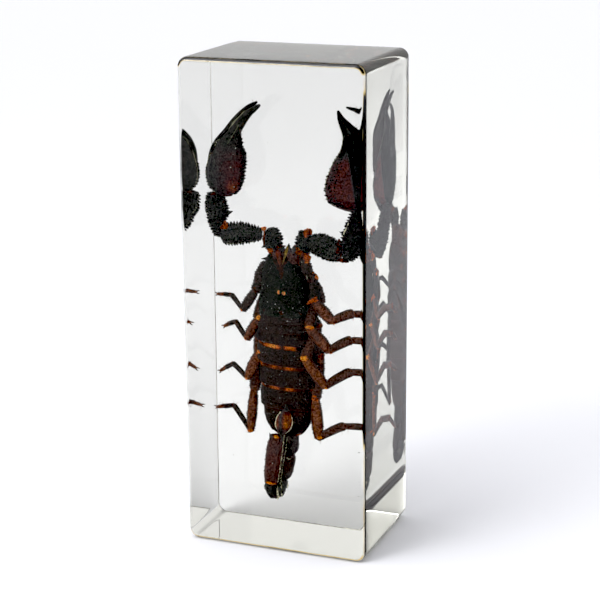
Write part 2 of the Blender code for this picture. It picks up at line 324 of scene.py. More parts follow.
def between(start, end, profile, width, depth, warm, past=0.3, bow=(0, 0, 0)):
    # rows for a limb part: profile holds a share of the length, of the width, of the depth and of the warmth
    start, end = np.array(start, float), np.array(end, float)
    way = unit(end - start)
    start, end = start - way * past, end + way * past
    rows = []
    for share, wider, deeper, warmer in profile:
        spot = start + (end - start) * share + np.array(bow) * math.sin(math.pi * min(max(share, 0), 1))
        rows.append((*spot, width * wider, depth * deeper, warm * warmer))
    return rows


def feed(node, inputs):
    # sets a node's inputs, by name or by number, or links them to another node's output
    for name, value in inputs.items():
        if isinstance(value, bpy.types.NodeSocket):
            node.id_data.links.new(value, node.inputs[name])
        else:
            node.inputs[name].default_value = value
    return node


def nodeOf(tree, kind, inputs={}, **values):
    made = tree.nodes.new(kind)
    for name, value in values.items():
        setattr(made, name, value)
    return feed(made, inputs)


def mathOf(tree, operation, *values):
    return nodeOf(tree, "ShaderNodeMath", dict(enumerate(values)), operation=operation).outputs[0]


def rangeOf(tree, value, low, high, least=0.0, most=1.0, kind="LINEAR"):
    inputs = {"Value": value, "From Min": low, "From Max": high, "To Min": least, "To Max": most}
    return nodeOf(tree, "ShaderNodeMapRange", inputs, interpolation_type=kind).outputs["Result"]


def rampOf(tree, value, stops):
    # each stop is a place and a colour
    made = nodeOf(tree, "ShaderNodeValToRGB", {"Fac": value})
    line = made.color_ramp.elements
    while len(line) < len(stops):
        line.new(0.5)
    for stop, (place, colour) in zip(line, stops):
        stop.position = place
        stop.color = (*colour, 1.0)
    return made.outputs["Color"]


def plainLook(name):
    made = bpy.data.materials.new(name)
    made.use_nodes = True
    return made, made.node_tree, made.node_tree.nodes["Principled BSDF"]


def buildGrainGroup():
    # mottling and two sizes of grain, shared by every part of the animal
    group = bpy.data.node_groups.new("chitinGrain", "ShaderNodeTree")
    for name, value in (("Mottle Size", 700.0), ("Grain Size", 2600.0), ("Mottle", 0.12)):
        socket = group.interface.new_socket(name, in_out="INPUT", socket_type="NodeSocketFloat")
        socket.default_value = value
    for name in ("Warmth Shift", "Grain", "Gloss", "Speckle"):
        group.interface.new_socket(name, in_out="OUTPUT", socket_type="NodeSocketFloat")
    given = nodeOf(group, "NodeGroupInput").outputs
    place = nodeOf(group, "ShaderNodeTexCoord").outputs["Object"]
    large, small = ({"Vector": place, "Scale": given[size]} for size in ("Mottle Size", "Grain Size"))
    mottle = nodeOf(group, "ShaderNodeTexNoise", {**large, "Detail": 4.0}).outputs["Fac"]
    fine = nodeOf(group, "ShaderNodeTexNoise", {**small, "Detail": 3.0}).outputs["Fac"]
    cells = nodeOf(group, "ShaderNodeTexVoronoi", small, feature="SMOOTH_F1").outputs["Distance"]
    nodeOf(group, "NodeGroupOutput", {
        "Warmth Shift": mathOf(group, "MULTIPLY", mathOf(group, "SUBTRACT", mottle, 0.5), given["Mottle"]),
        "Grain": mathOf(group, "MULTIPLY_ADD", cells, -1.0, fine),
        "Gloss": rangeOf(group, fine, 0.3, 0.7, 0.34, 0.62),
        "Speckle": rangeOf(group, fine, 0.4, 0.68, 0.55, 2.1),
    })
    return group


grainGroup = buildGrainGroup()


def chitin(name, ramp, specular=0.18, bump=0.25, mottle=0.14, mottleSize=700.0, subsurface=0.0):
    # colour runs along the ramp by the mesh's warmth, mottled and grained
    made, tree, surface = plainLook(name)
    if subsurface:
        feed(surface, {"Subsurface Weight": subsurface, "Subsurface Radius": (1.0, 0.4, 0.15),
                       "Subsurface Scale": 0.6 * mm})
    grain = nodeOf(tree, "ShaderNodeGroup", node_tree=grainGroup)
    grain = feed(grain, {"Mottle Size": mottleSize, "Mottle": mottle}).outputs
    warmth = nodeOf(tree, "ShaderNodeAttribute", attribute_name="warm").outputs["Fac"]
    colours = rampOf(tree, mathOf(tree, "ADD", warmth, grain["Warmth Shift"]), ramp)
    speckled = nodeOf(tree, "ShaderNodeVectorMath", {0: colours, "Scale": grain["Speckle"]},
                      operation="SCALE")
    bumps = nodeOf(tree, "ShaderNodeBump", {"Strength": bump, "Distance": 0.1 * mm, "Height": grain["Grain"]})
    feed(surface, {"Base Color": speckled.outputs["Vector"], "Roughness": grain["Gloss"],
                   "Normal": bumps.outputs["Normal"], "Specular IOR Level": specular})
    return made


amber = (0.8, 0.27, 0.035)
looks = {
    "carapace": chitin("carapaceChitin", (
        (0.0, (0.009, 0.011, 0.008)), (0.15, (0.024, 0.027, 0.021)), (0.35, (0.065, 0.078, 0.066)),
        (0.6, (0.075, 0.03, 0.02)), (0.8, (0.20, 0.06, 0.02)), (1.0, amber)), bump=0.4),
    "abdomen": chitin("tergiteChitin", (
        (0.0, (0.045, 0.050, 0.046)), (0.13, (0.028, 0.026, 0.024)), (0.3, (0.042, 0.026, 0.022)),
        (0.55, (0.075, 0.028, 0.020)), (0.8, (0.26, 0.08, 0.025)), (1.0, amber)), bump=0.4),
    # the lowest stops of the arm and hand ramps are near black, for painted shade
    "arm": chitin("armChitin", (
        (0.0, (0.006, 0.006, 0.006)), (0.08, (0.026, 0.028, 0.025)), (0.2, (0.080, 0.086, 0.076)),
        (0.3, (0.085, 0.070, 0.060)), (0.6, (0.10, 0.03, 0.018)), (1.0, amber)), bump=0.4),
    "hand": chitin("handChitin", (
        (0.0, (0.001, 0.001, 0.001)), (0.1, (0.048, 0.050, 0.048)), (0.22, (0.056, 0.046, 0.048)),
        (0.45, (0.085, 0.030, 0.032)), (0.7, (0.19, 0.055, 0.035)), (1.0, (0.50, 0.17, 0.05))), bump=0.3),
    "leg": chitin("legChitin", (
        (0.0, (0.016, 0.016, 0.014)), (0.2, (0.050, 0.038, 0.033)), (0.4, (0.105, 0.050, 0.038)),
        (0.6, (0.20, 0.075, 0.042)), (0.85, (0.32, 0.12, 0.045)), (1.0, amber)), bump=0.3, mottle=0.24),
    "tail": chitin("tailChitin", (
        (0.0, (0.040, 0.042, 0.038)), (0.15, (0.075, 0.068, 0.070)), (0.3, (0.085, 0.058, 0.056)),
        (0.55, (0.13, 0.045, 0.036)), (0.8, (0.30, 0.09, 0.025)), (1.0, amber)), bump=0.4, mottle=0.2),
    "membrane": chitin("jointMembrane", (
        (0.0, (0.022, 0.012, 0.009)), (0.35, (0.14, 0.036, 0.015)), (0.7, (0.54, 0.12, 0.020)),
        (1.0, (0.85, 0.32, 0.05))), bump=0.3, mottle=0.5, mottleSize=900.0, subsurface=0.2),
    "eye": chitin("eyeAmber", (
        (0.0, (0.4, 0.13, 0.04)), (1.0, (0.85, 0.36, 0.11))), specular=0.5, bump=0.05),
    # pale material for painted highlights and painted light along thin lines and beads
    "pale": chitin("paintedHighlightLook", (
        (0.0, (0.10, 0.10, 0.07)), (0.5, (0.30, 0.30, 0.21)),
        (1.0, (0.85, 0.80, 0.58))), bump=0.1, mottle=0.5),
    "tuft": chitin("mouthTan", (
        (0.0, (0.12, 0.022, 0.012)), (0.3, (0.14, 0.05, 0.02)), (0.6, (0.16, 0.10, 0.030)),
        (1.0, (0.36, 0.24, 0.06))), bump=0.3, mottle=0.3),
    "speck": chitin("resinSpeck", (
        (0.0, (0.10, 0.10, 0.09)), (1.0, (0.95, 0.95, 0.93))), bump=0.05, mottle=0.1),
}
print("materials made")


# height, middle, half width, rise of the back in front of the margin and drop of the belly behind it
trunk = {
    "marginY": 4.8,
    "line": (
        (69.2, -1.9, 2.6, 1.5, 1.3), (68.2, -2.0, 3.3, 2.1, 1.6), (66.6, -2.0, 4.1, 2.6, 1.9),
        (63.6, -1.7, 5.2, 3.1, 2.2), (58.6, -1.6, 5.8, 3.6, 2.5), (54.0, -1.8, 6.1, 3.45, 2.5),
        (52.2, -1.8, 6.1, 3.4, 2.5), (49.6, -1.8, 6.45, 3.55, 2.6), (46.1, -1.55, 7.0, 3.6, 2.65),
        (41.3, -0.75, 7.4, 3.7, 2.65), (36.1, -0.5, 7.35, 3.65, 2.55), (31.0, -0.7, 6.65, 3.35, 2.25),
        (27.4, -1.1, 5.2, 2.6, 2.0), (24.7, -1.1, 3.3, 1.9, 1.7), (23.6, -1.1, 2.0, 1.2, 1.2),
    ),
    "thickness": 0.35,
    # bands of bare tissue between plates: height, form, then the share, place and width of each patch
    "bands": ((46.25, lens, (1.0, -0.38, 0.35), (0.95, 0.26, 0.25)),
              (41.3, hump, (0.6, -0.42, 0.2), (0.75, 0.15, 0.22)),
              (36.3, lens, (0.75, -0.42, 0.19), (0.8, 0.09, 0.2))),
}
trunkRows = np.array(trunk["line"])[::-1]


def trunkAt(z):
    # middle, half width, rise and drop of the trunk at a height
    return [np.interp(z, trunkRows[:, 0], trunkRows[:, k]) for k in (1, 2, 3, 4)]


def onTrunk(across, z, grow=0.0, belly=False, spread=97.0):
    # a point of the trunk's skin; across runs from -1 at the left margin to 1 at the right
    middle, half, rise, drop = trunkAt(z)
    phi = np.radians(across * spread)
    height = (drop if belly else rise) + grow
    way = 1.0 if belly else -1.0
    bend = np.sign(np.cos(phi)) * np.abs(np.cos(phi)) ** 0.85
    x = middle + (half + grow) * np.sign(phi) * np.abs(np.sin(phi)) ** 0.9
    y = trunk["marginY"] + way * height * bend
    return np.stack([x, y, z], axis=-1)


def plate(form, zFront, zRear, columns, rows, lift=None, belly=False, spread=97.0, warm=0.0, grain=0.1,
          cell=0.5, seed=0, tuck=0.3, lip=0.14):
    # a curved plate: it starts tucked under the one before it, and its rear edge stands a little proud
    across = np.linspace(-1, 1, columns)[None, :]
    share = np.linspace(0, 1, rows)[:, None]
    front, rear = (edge(across) if callable(edge) else edge + 0 * across for edge in (zFront, zRear))
    z = front + (rear - front) * share
    grow = -tuck * (1 - ease(0, 0.3, share)) + lip * ease(0.45, 0.92, share)
    grow = grow - (lip + 0.1) * ease(0.95, 1.0, share) ** 2 + 0 * across
    if lift is not None:
        grow = grow + lift(across, z)
    outer = onTrunk(across + 0 * z, z, grow, belly, spread)
    outward = unit(outer - onTrunk(across + 0 * z, z, grow - 1.0, belly, spread))
    grains = granules(outer, cell, seed) * (0.25 + 0.75 * ease(0.1, 0.9, share))
    outer = outer + outward * (grain * grains)[..., None]
    # painted highlight: the tops of the grains are made lighter, in patches
    grainHighlight = 0.16 * grains**2 * lumps(outer, 0.8, seed + 5)
    inner = onTrunk(across * 0.985 + 0 * z, z, grow - trunk["thickness"], belly, spread)
    heat = (warm(across, share, z) if callable(warm) else warm) + grainHighlight
    form.rings(np.concatenate([outer, inner[:, ::-1]], axis=1), np.concatenate([heat, heat[:, ::-1]], axis=1))
    return outer, outward


carapace = {
    "frontLine": (  # across and height of the front edge, with its notch
        (-1.0, 63.6), (-0.9, 66.0), (-0.8, 67.5), (-0.68, 67.9), (-0.5, 67.2), (-0.32, 66.6), (-0.2, 65.6),
        (-0.1, 65.0), (0.0, 65.6), (0.12, 66.4), (0.3, 66.6), (0.5, 66.5), (0.7, 65.8), (0.85, 64.6),
        (1.0, 63.0),
    ),
    "rear": 53.1,
    "grooveDepth": 0.32,
    "eyes": ((-2.14, 59.35, 0.3, 0.5), (-0.86, 59.2, 0.42, 0.42)),  # x, z, half width, half height
    "eyeMound": (-1.5, 59.2, 1.5, 2.1, 0.75),  # x, z, half width, half length, height
    "grains": ((900, (0.15, 0.15), 0.1, 11, (0.03, 0.97), (0.03, 0.97)),
               (260, (0.2, 0.24), 0.12, 12, (0.02, 0.99), (0.0, 0.12)),
               (260, (0.2, 0.24), 0.12, 13, (0.02, 0.99), (0.88, 1.0))),
}


def carapaceFront(across):
    line = np.array(carapace["frontLine"])
    return np.interp(across, line[:, 0], line[:, 1])


def carapaceRear(across):
    return carapace["rear"] + 0.5 * across**2


def carapaceLift(across, z):
    x = onTrunk(across + 0 * z, z)[..., 0]
    moundX, moundZ, moundWide, moundLong, moundHigh = carapace["eyeMound"]
    mound = moundHigh * hump(x, moundX, moundWide) * hump(z, moundZ, moundLong)
    groove = -carapace["grooveDepth"] * hump(across, 0, 0.05) * (1 - 0.8 * hump(z, moundZ, 1.5))
    rearFork = -0.3 * hump(np.abs(across) - 0.05 - 0.45 * ease(58, 54, z), 0, 0.06) * ease(58.5, 57, z)
    cheeks = 0.25 * hump(np.abs(across), 0.5, 0.22) * hump(z, 63.5, 3.0)
    rearFurrow = -0.22 * hump(z, carapace["rear"] + 1.3, 0.35)
    return mound + groove + rearFork + cheeks + rearFurrow


def carapaceWarm(across, share, z):
    # a thin greenish-grey gleam follows the left margin
    edge = 0.5 * hump(across, -0.1, 0.1) * (1 - ease(0.0, 0.03, share))
    line = -0.78 - 0.1 * hump(z, 63.0, 3.0) + 0.2 * ease(60, 55, z)
    gleam = 0.26 * hump(across, line, 0.05) * ease(54.5, 57.5, z)
    uneven = 0.05 * lumps(onTrunk(across + 0 * z, z), 1.5, 7)
    return 0.06 + edge + gleam + 0.08 * ease(0.8, 1.0, share) + uneven


def makeCarapace():
    form = Form()
    skin = plate(form, carapaceFront, carapaceRear, 120, 120, carapaceLift, warm=carapaceWarm, grain=0.13,
                 cell=0.55, seed=3, tuck=0.25, lip=0.1)
    strew(form, skin, carapace["grains"])
    form.piece("carapace", looks["carapace"])


def ball(form, centre, wide, deep, tall, warm, sides=20, rings=14, rough=0.0, seed=0):
    # a rounded bead; rough ones are uneven in shape and in warmth
    tilt = np.linspace(-1, 1, rings)[:, None] * math.pi / 2
    turn = 2 * math.pi * np.arange(sides) / sides
    ring = np.cos(tilt)
    away = np.stack([wide * ring * np.cos(turn), -deep * ring * np.sin(turn),
                     tall * np.sin(tilt) + 0 * turn], axis=-1)
    points = np.array(centre) + away
    if rough:
        swell = 1 + rough * (lumps(points, 0.55, seed) + 0.5 * lumps(points, 0.25, seed + 1) - 0.75) * 2
        points = np.array(centre) + away * swell[..., None]
        warm = np.clip(warm + 0.5 * (lumps(points, 0.45, seed + 2) - 0.5), 0.0, 1.0)
    form.rings(points, warm)


def makeEyes():
    form = Form()
    for x, z, wide, tall in carapace["eyes"]:
        y = trunk["marginY"] - trunkAt(z)[2] - carapace["eyeMound"][4] + 0.02
        ball(form, (x, y, z), wide, 0.42, tall, 0.8)
    form.piece("eyes", looks["eye"])


tergites = {
    "spans": (  # front and rear height at the middle, and how far the rear edge bulges
        (53.6, 51.75, 0.5), (52.0, 49.5, 0.55), (49.7, 46.55, 0.6), (46.0, 41.55, 0.65), (41.1, 36.5, 0.6),
        (36.2, 31.0, 0.6), (31.1, 24.9, 0.4),
    ),
    "slant": -0.385,  # how much lower the slanted plates' edges run at the right margin than at the middle
    "slanted": (2, 3),
    "columns": 76,
    # all over, down the left and down the right
    "grains": ((60, (0.13, 0.13), 0.2, 40, (0.35, 0.97), (0.02, 0.98)),
               (30, (0.16, 0.18), 0.15, 60, (0.3, 0.98), (0.0, 0.14)),
               (30, (0.16, 0.18), 0.15, 80, (0.3, 0.98), (0.86, 1.0))),
}


def makeTergites():
    form = Form()
    for i, (zFront, zRear, bulge) in enumerate(tergites["spans"]):
        tilt = tergites["slant"] if i in tergites["slanted"] else 0.0

        def edgeAt(height):
            return lambda across: height + bulge * across**2 + tilt * across

        def ridge(across, z):
            lines = 0.12 * hump(across, 0, 0.05) + 0.1 * hump(np.abs(across), 0.42, 0.05)
            return lines * ease(zFront - 0.5, (zFront + zRear) / 2, z)

        def heat(across, share, z):
            rim = 0.12 * ease(0.85, 1.0, share) * hump(across, -0.15, 0.5)
            last = 0.25 * hump(z, 30.6, 0.8) * hump(across, 0.1, 0.4)
            return 0.22 + rim + last - 0.14 * ease(0.6, 1.0, np.abs(across))

        length = zFront - zRear
        skin = plate(form, edgeAt(zFront), edgeAt(zRear), tergites["columns"], int(15 + 7 * length), ridge,
                     warm=heat, grain=0.12, seed=20 + i, spread=99.0)
        strew(form, skin, tergites["grains"], length, i)
    form.piece("tergites", looks["abdomen"])


sternites = {
    "spans": ((50.0, 46.6), (46.4, 42.0), (41.8, 37.0), (36.8, 31.2), (31.0, 24.8)),
    "spiracles": ((48.4, 0.5), (44.2, 0.52), (39.4, 0.52), (34.0, 0.5)),
}


def makeSternites():
    form = Form()

    def pits(across, z):
        slits = sum(0.35 * hump(z, height, 0.35) * hump(np.abs(across), place, 0.07)
                    for height, place in sternites["spiracles"])
        return -slits - 0.12 * hump(np.abs(across), 0.25, 0.02)

    for i, (zFront, zRear) in enumerate(sternites["spans"]):
        plate(form, zFront, lambda across: zRear - 0.3 * across**2, 60, int(10 + 5 * (zFront - zRear)), pits,
              belly=True, spread=84.0, warm=lambda across, share, z: 0.42 + 0.12 * ease(0.8, 1.0, share),
              grain=0.04, cell=0.6, seed=100 + i)
    form.piece("sternites", looks["abdomen"])


def makeTrunkTissue():
    # the soft tissue that shows between the plates and along the flanks
    form = Form()
    turn = 2 * math.pi * np.arange(72) / 72
    c, s = np.cos(turn), np.sin(turn)
    rings, warmth = [], []
    for z in np.linspace(67.4, 24.2, 100):
        middle, half, rise, drop = trunkAt(z)
        deep = np.where(s > 0, rise, drop) - 0.22
        folds = 0.1 * math.sin(z * 9.0)
        x = middle + (half - 0.3 + folds * np.abs(c) ** 6) * np.sign(c) * np.abs(c) ** 0.9
        y = trunk["marginY"] - deep * np.sign(s) * np.abs(s) ** 0.85
        rings.append(np.stack([x, y, z + 0 * x], axis=-1))
        across = (x - middle) / half
        bands = sum(hump(z, height, 0.8) * share * shape(across, place, width)
                    for height, shape, *patches in trunk["bands"] for share, place, width in patches)
        flank = 0.62 * ease(0.72, 0.92, np.abs(c)) * (0.5 + lumps(rings[-1], 1.2, 15))
        warmth.append(np.clip(0.02 + bands * np.where(s > 0.15, 1.0, 0.35) + flank * 0.9, 0, 1))
    form.rings(np.array(rings), np.array(warmth))
    form.piece("trunkTissue", looks["membrane"])


makeCarapace()
makeEyes()
makeTergites()
makeSternites()
makeTrunkTissue()
print("trunk made")


# the coxa's root, the hip, and the far ends of femur, patella, tibia, shank and foot; then the leg's warmth
# and its tip's, the girth of the patella and of the thin parts, and the warmth at the patella's joint
legs = {
    "left_1": (((-1.6, 6.4, 61.0), (-6.3, 5.8, 62.6), (-8.8, 4.4, 58.5), (-11.75, 3.2, 53.8),
                (-15.2, 5.9, 56.7), (-17.4, 7.0, 56.5), (-19.2, 7.6, 56.3)), 0.22, 0.18, 0.74, 0.72, 0.3),
    "left_2": (((-1.6, 6.6, 58.4), (-7.2, 6.3, 57.0), (-8.2, 4.4, 51.8), (-10.95, 3.3, 46.9),
                (-14.3, 5.9, 50.4), (-16.2, 6.9, 49.5), (-17.6, 7.5, 48.7)), 0.5, 0.2, 0.78, 0.76, 0.95),
    "left_3": (((-1.6, 6.7, 56.2), (-7.8, 6.3, 51.8), (-8.2, 4.6, 43.6), (-10.9, 3.3, 37.3),
                (-15.1, 5.9, 40.0), (-17.2, 6.9, 38.7), (-18.8, 7.4, 37.6)), 0.6, 0.2, 0.88, 0.76, 0.75),
    "left_4": (((-1.6, 6.7, 54.0), (-7.6, 6.4, 45.6), (-9.75, 5.4, 34.2), (-10.45, 4.0, 24.2),
                (-15.2, 6.3, 29.6), (-18.0, 7.1, 28.9), (-19.9, 7.6, 28.4)), 0.58, 0.2, 0.82, 0.78, 0.3),
    "right_1": (((-0.6, 6.4, 61.0), (5.0, 5.8, 62.6), (5.9, 3.4, 57.3), (10.5, 2.6, 53.2), (15.0, 4.2, 55.25),
                 (19.8, 5.2, 55.45), (20.3, 8.0, 53.4)), 0.5, 0.4, 0.96, 1.22, 0.6),
    "right_2": (((-0.6, 6.6, 58.4), (5.4, 6.0, 56.6), (4.7, 2.6, 51.3), (9.7, 2.8, 46.1), (14.6, 4.2, 49.0),
                 (19.8, 4.9, 49.2), (20.3, 8.0, 47.0)), 0.54, 0.38, 1.0, 1.2, 0.75),
    "right_3": (((-0.6, 6.7, 56.2), (6.2, 5.8, 51.2), (3.9, 1.6, 44.0), (8.6, 3.0, 37.4), (14.6, 3.9, 41.5),
                 (19.8, 4.2, 41.8), (20.3, 8.0, 39.4)), 0.62, 0.36, 0.98, 1.22, 0.8),
    "right_4": (((-0.6, 6.7, 54.0), (6.8, 5.6, 44.2), (6.1, 3.2, 34.1), (7.0, 2.6, 24.7), (13.2, 3.4, 28.4),
                 (19.8, 3.8, 28.85), (20.3, 7.8, 25.4)), 0.62, 0.34, 0.96, 1.15, 0.5),
}
# the first legs' hips stand out beside the carapace: x, y, z, half width, half depth and warmth along each
hips = (
    ((2.2, 4.7, 68.1, 0.5, 0.7, 0.2), (2.9, 4.5, 67.1, 1.1, 1.1, 0.18), (3.7, 4.4, 65.3, 1.25, 1.2, 0.2),
     (4.3, 4.5, 63.7, 1.1, 1.1, 0.2), (4.8, 4.8, 62.4, 0.8, 0.9, 0.25), (5.0, 5.0, 61.7, 0.3, 0.4, 0.3)),
    ((5.5, 5.4, 61.7, 0.7, 0.8, 0.15), (6.1, 5.4, 60.3, 1.1, 1.1, 0.15), (6.75, 5.4, 58.6, 1.1, 1.0, 0.2),
     (7.1, 5.4, 57.4, 0.85, 0.9, 0.3), (7.0, 5.4, 56.6, 0.4, 0.5, 0.35)),
    ((-6.6, 5.0, 65.6, 0.4, 0.5, 0.15), (-7.0, 5.0, 64.4, 0.9, 1.0, 0.15), (-7.7, 5.0, 62.2, 1.2, 1.1, 0.15),
     (-8.2, 5.0, 60.4, 1.1, 1.0, 0.2), (-8.4, 4.9, 59.3, 0.6, 0.7, 0.35)),
)
# half width, half depth, and the profile: share of length, of width, of depth and of warmth
legParts = {
    "coxa": (1.35, 1.2, ((0.0, 0.5, 0.5, 0.7), (0.06, 0.8, 0.8, 0.7), (0.4, 1.0, 1.0, 0.6),
                         (0.85, 1.05, 1.0, 0.6), (0.97, 0.85, 0.8, 0.8), (1.0, 0.4, 0.4, 0.9))),
    "femur": (1.2, 1.1, ((0.0, 0.45, 0.45, 1.2), (0.05, 0.75, 0.75, 1.1), (0.3, 1.0, 1.0, 0.85),
                         (0.7, 1.08, 1.0, 0.8), (0.93, 0.95, 0.9, 1.0), (1.0, 0.45, 0.45, 1.2))),
    "patella": (1.25, 1.1, ((0.0, 0.4, 0.4, 1.35), (0.05, 0.72, 0.75, 1.15), (0.22, 0.98, 1.0, 1.0),
                            (0.6, 1.08, 1.0, 1.0), (0.88, 0.86, 0.85, 1.0), (0.97, 0.62, 0.62, 1.25),
                            (1.0, 0.3, 0.3, 1.4))),
    "tibia": (0.78, 0.72, ((0.0, 0.45, 0.45, 1.5), (0.06, 0.72, 0.8, 1.2), (0.3, 0.98, 1.0, 1.0),
                           (0.75, 1.08, 1.05, 1.0), (0.95, 1.0, 1.0, 1.05), (1.0, 0.5, 0.5, 1.2))),
    "shank": (0.68, 0.62, ((0.0, 0.45, 0.45, 1.4), (0.07, 0.85, 0.85, 1.1), (0.5, 1.0, 1.0, 1.0),
                           (0.93, 0.95, 0.95, 1.2), (1.0, 0.4, 0.4, 1.5))),
    "foot": (0.55, 0.52, ((0.0, 0.5, 0.5, 1.5), (0.1, 0.95, 0.95, 1.5), (0.55, 1.0, 1.0, 1.6),
                          (0.9, 0.72, 0.72, 1.7), (1.0, 0.3, 0.3, 1.7))),
}
# patches of bare membrane at the joints: centre, half width, half depth, half height and warmth
jointSpots = (
    (-7.85, 3.3, 52.4, 0.75, 0.6, 0.6, 1.0), (-7.53, 3.3, 44.1, 0.6, 0.6, 0.6, 0.9),
    (5.07, 1.6, 51.56, 0.95, 0.6, 0.4, 0.95), (3.88, 0.7, 44.15, 0.85, 0.6, 0.5, 0.9),
    (6.14, 2.3, 34.98, 0.5, 0.4, 0.3, 0.7), (7.4, 1.8, 25.2, 0.55, 0.5, 0.4, 0.95),
    (-10.3, 3.2, 24.4, 0.45, 0.4, 0.3, 0.7), (6.24, 4.5, 63.0, 0.5, 0.5, 0.45, 0.8),
    (4.67, 4.5, 64.05, 0.9, 0.6, 0.4, 0.45), (-8.6, 4.0, 59.3, 0.7, 0.5, 0.35, 0.4),
)
hipStripe = ((4.4, 2.4, 56.9, 0.15, 0.15, 0.4), (4.9, 2.3, 57.3, 0.32, 0.3, 0.65),
             (5.6, 2.2, 57.8, 0.36, 0.3, 0.65), (6.4, 2.5, 58.4, 0.3, 0.3, 0.5),
             (6.8, 2.7, 58.7, 0.12, 0.12, 0.4))
legKeels = ((0, 0.1, 14), (180, 0.1, 14), (60, 0.05, 12), (90, 0.05, 12), (120, 0.05, 12))
legBow = {"tibia": (0.0, 0.0, 0.45), "patella": (0.0, 0.0, 0.1)}


def shadeEdges(form, skin, warm, depth=0.55):
    # painted shade: limbs are warmest where they face the front, the lit side, darker where they turn away,
    # and mottled
    points, out = skin
    litSide = ease(0.15, 0.85, -out[..., 1])
    patches = lumps(points, 0.9, 31) * 0.6 + lumps(points, 0.4, 32) * 0.4
    paintLast(form, np.clip(warm * (1 - depth + depth * litSide) * (0.55 + 0.9 * patches), 0.0, 1.0))


def makeLegs():
    form, tissue, bristles = Form(), Form(), Form()
    for n, (side, (joints, warmth, tipWarmth, girth, slim, jointHeat)) in enumerate(legs.items()):
        way = -1.0 if side.startswith("left") else 1.0
        warms = {"coxa": 0.4, "femur": 0.14 if side == "right_1" else warmth * 0.8, "patella": warmth,
                 "foot": 0.42}
        jointHeats = {"femur": 0.4, "patella": jointHeat, "tibia": 0.8, "shank": 0.25, "foot": 0.3}
        parts = zip(legParts.items(), joints, joints[1:])
        for m, ((part, (width, depth, profile)), start, end) in enumerate(parts):
            bow = np.array(legBow.get(part, (0, 0, 0))) * (1.0 if way > 0 else 0.35)
            warm = warms.get(part, tipWarmth)
            size = {"coxa": 1.0, "femur": 1.0, "patella": girth}.get(part, slim)
            length = math.dist(start, end)
            rows = between(start, end, profile, width * size, depth * size, warm, past=0.25, bow=bow)
            skin = tube(form, rows, backOfAnimal, sides=20, rings=int(10 + 3 * length), square=2.3,
                        keels=legKeels, grain=0.06, cell=0.4, seed=n * 7 + m)
            shadeEdges(form, skin, rowsThrough(rows, len(skin[0]))[:, 5:6])
            seed = 200 + n * 10 + m
            thick = part in ("coxa", "femur", "patella")
            if thick:
                for angle in (-8, 8):
                    crest(form, skin, angle, gap=0.5, width=0.16, height=0.26, warm=warm * 0.5,
                          seed=seed + angle)
                    crest(form, skin, 180 + angle, gap=0.55, width=0.15, height=0.24, warm=warm * 0.5,
                          seed=seed + 500 + angle)
                scatter(form, skin, count=int(14 * length), width=0.1, height=0.1, warm=warm * 0.8,
                        seed=seed + 900)
            hairs(bristles, skin, np.random.default_rng(seed + 1300), rows=(2, len(skin[0]) - 2),
                  count=int(length * (1.2 if thick else 3)), lengths=(0.5, 1.1), seed=seed)
            if part in jointHeats:
                wide = {"femur": 1.0, "patella": 0.9 * girth, "tibia": 0.62 * girth}.get(part, 0.55 * slim)
                ball(tissue, np.array(start) + [0.15 * way, -0.05, 0.1], wide, wide * 0.95, wide * 0.98,
                     jointHeats[part], 20, 15, rough=0.3, seed=seed)
        makeFootClaws(form, np.array(joints[5]), np.array(joints[6]))
    for n, rows in enumerate(hips):
        skin = tube(form, rows, backOfAnimal, sides=60, rings=50, square=2.3, grain=0.2, cell=0.7,
                    seed=290 + n, grainHighlight=0.15)
        crests(form, skin, (-15, 0, 15, 90, 165, 180, 195), gap=0.7, width=0.22, height=0.28, warm=0.15,
               seed=295 + 9 * n)
    for k, (*centre, wide, deep, tall, warm) in enumerate(jointSpots):
        ball(tissue, centre, wide, deep, tall, warm, sides=24, rings=18, rough=0.35, seed=250 + k)
    tube(tissue, hipStripe, backOfAnimal, grain=0.1, cell=0.4, seed=260)
    form.piece("legs", looks["leg"])
    tissue.piece("legMembranes", looks["membrane"])
    bristles.piece("bristles", looks["leg"])


def makeFootClaws(form, heel, toe):
    # a pair of small curved claws at the end of a foot
    along = unit(toe - heel)
    sideways = unit(np.cross(along, [0.0, 1.0, 0.2]))
    for turn in (-1, 1):
        rows = []
        for share, width in ((0.0, 0.2), (0.35, 0.16), (0.7, 0.11), (1.0, 0.03)):
            reach = toe + along * 0.95 * share + sideways * turn * 0.38 * math.sin(share * 2.2)
            rows.append((*(reach + np.array([0, 0.25 * share**2, 0])), width, width, 0.55 - 0.4 * share))
        tube(form, rows, backOfAnimal, sides=8, rings=12)


makeLegs()
print("legs made")


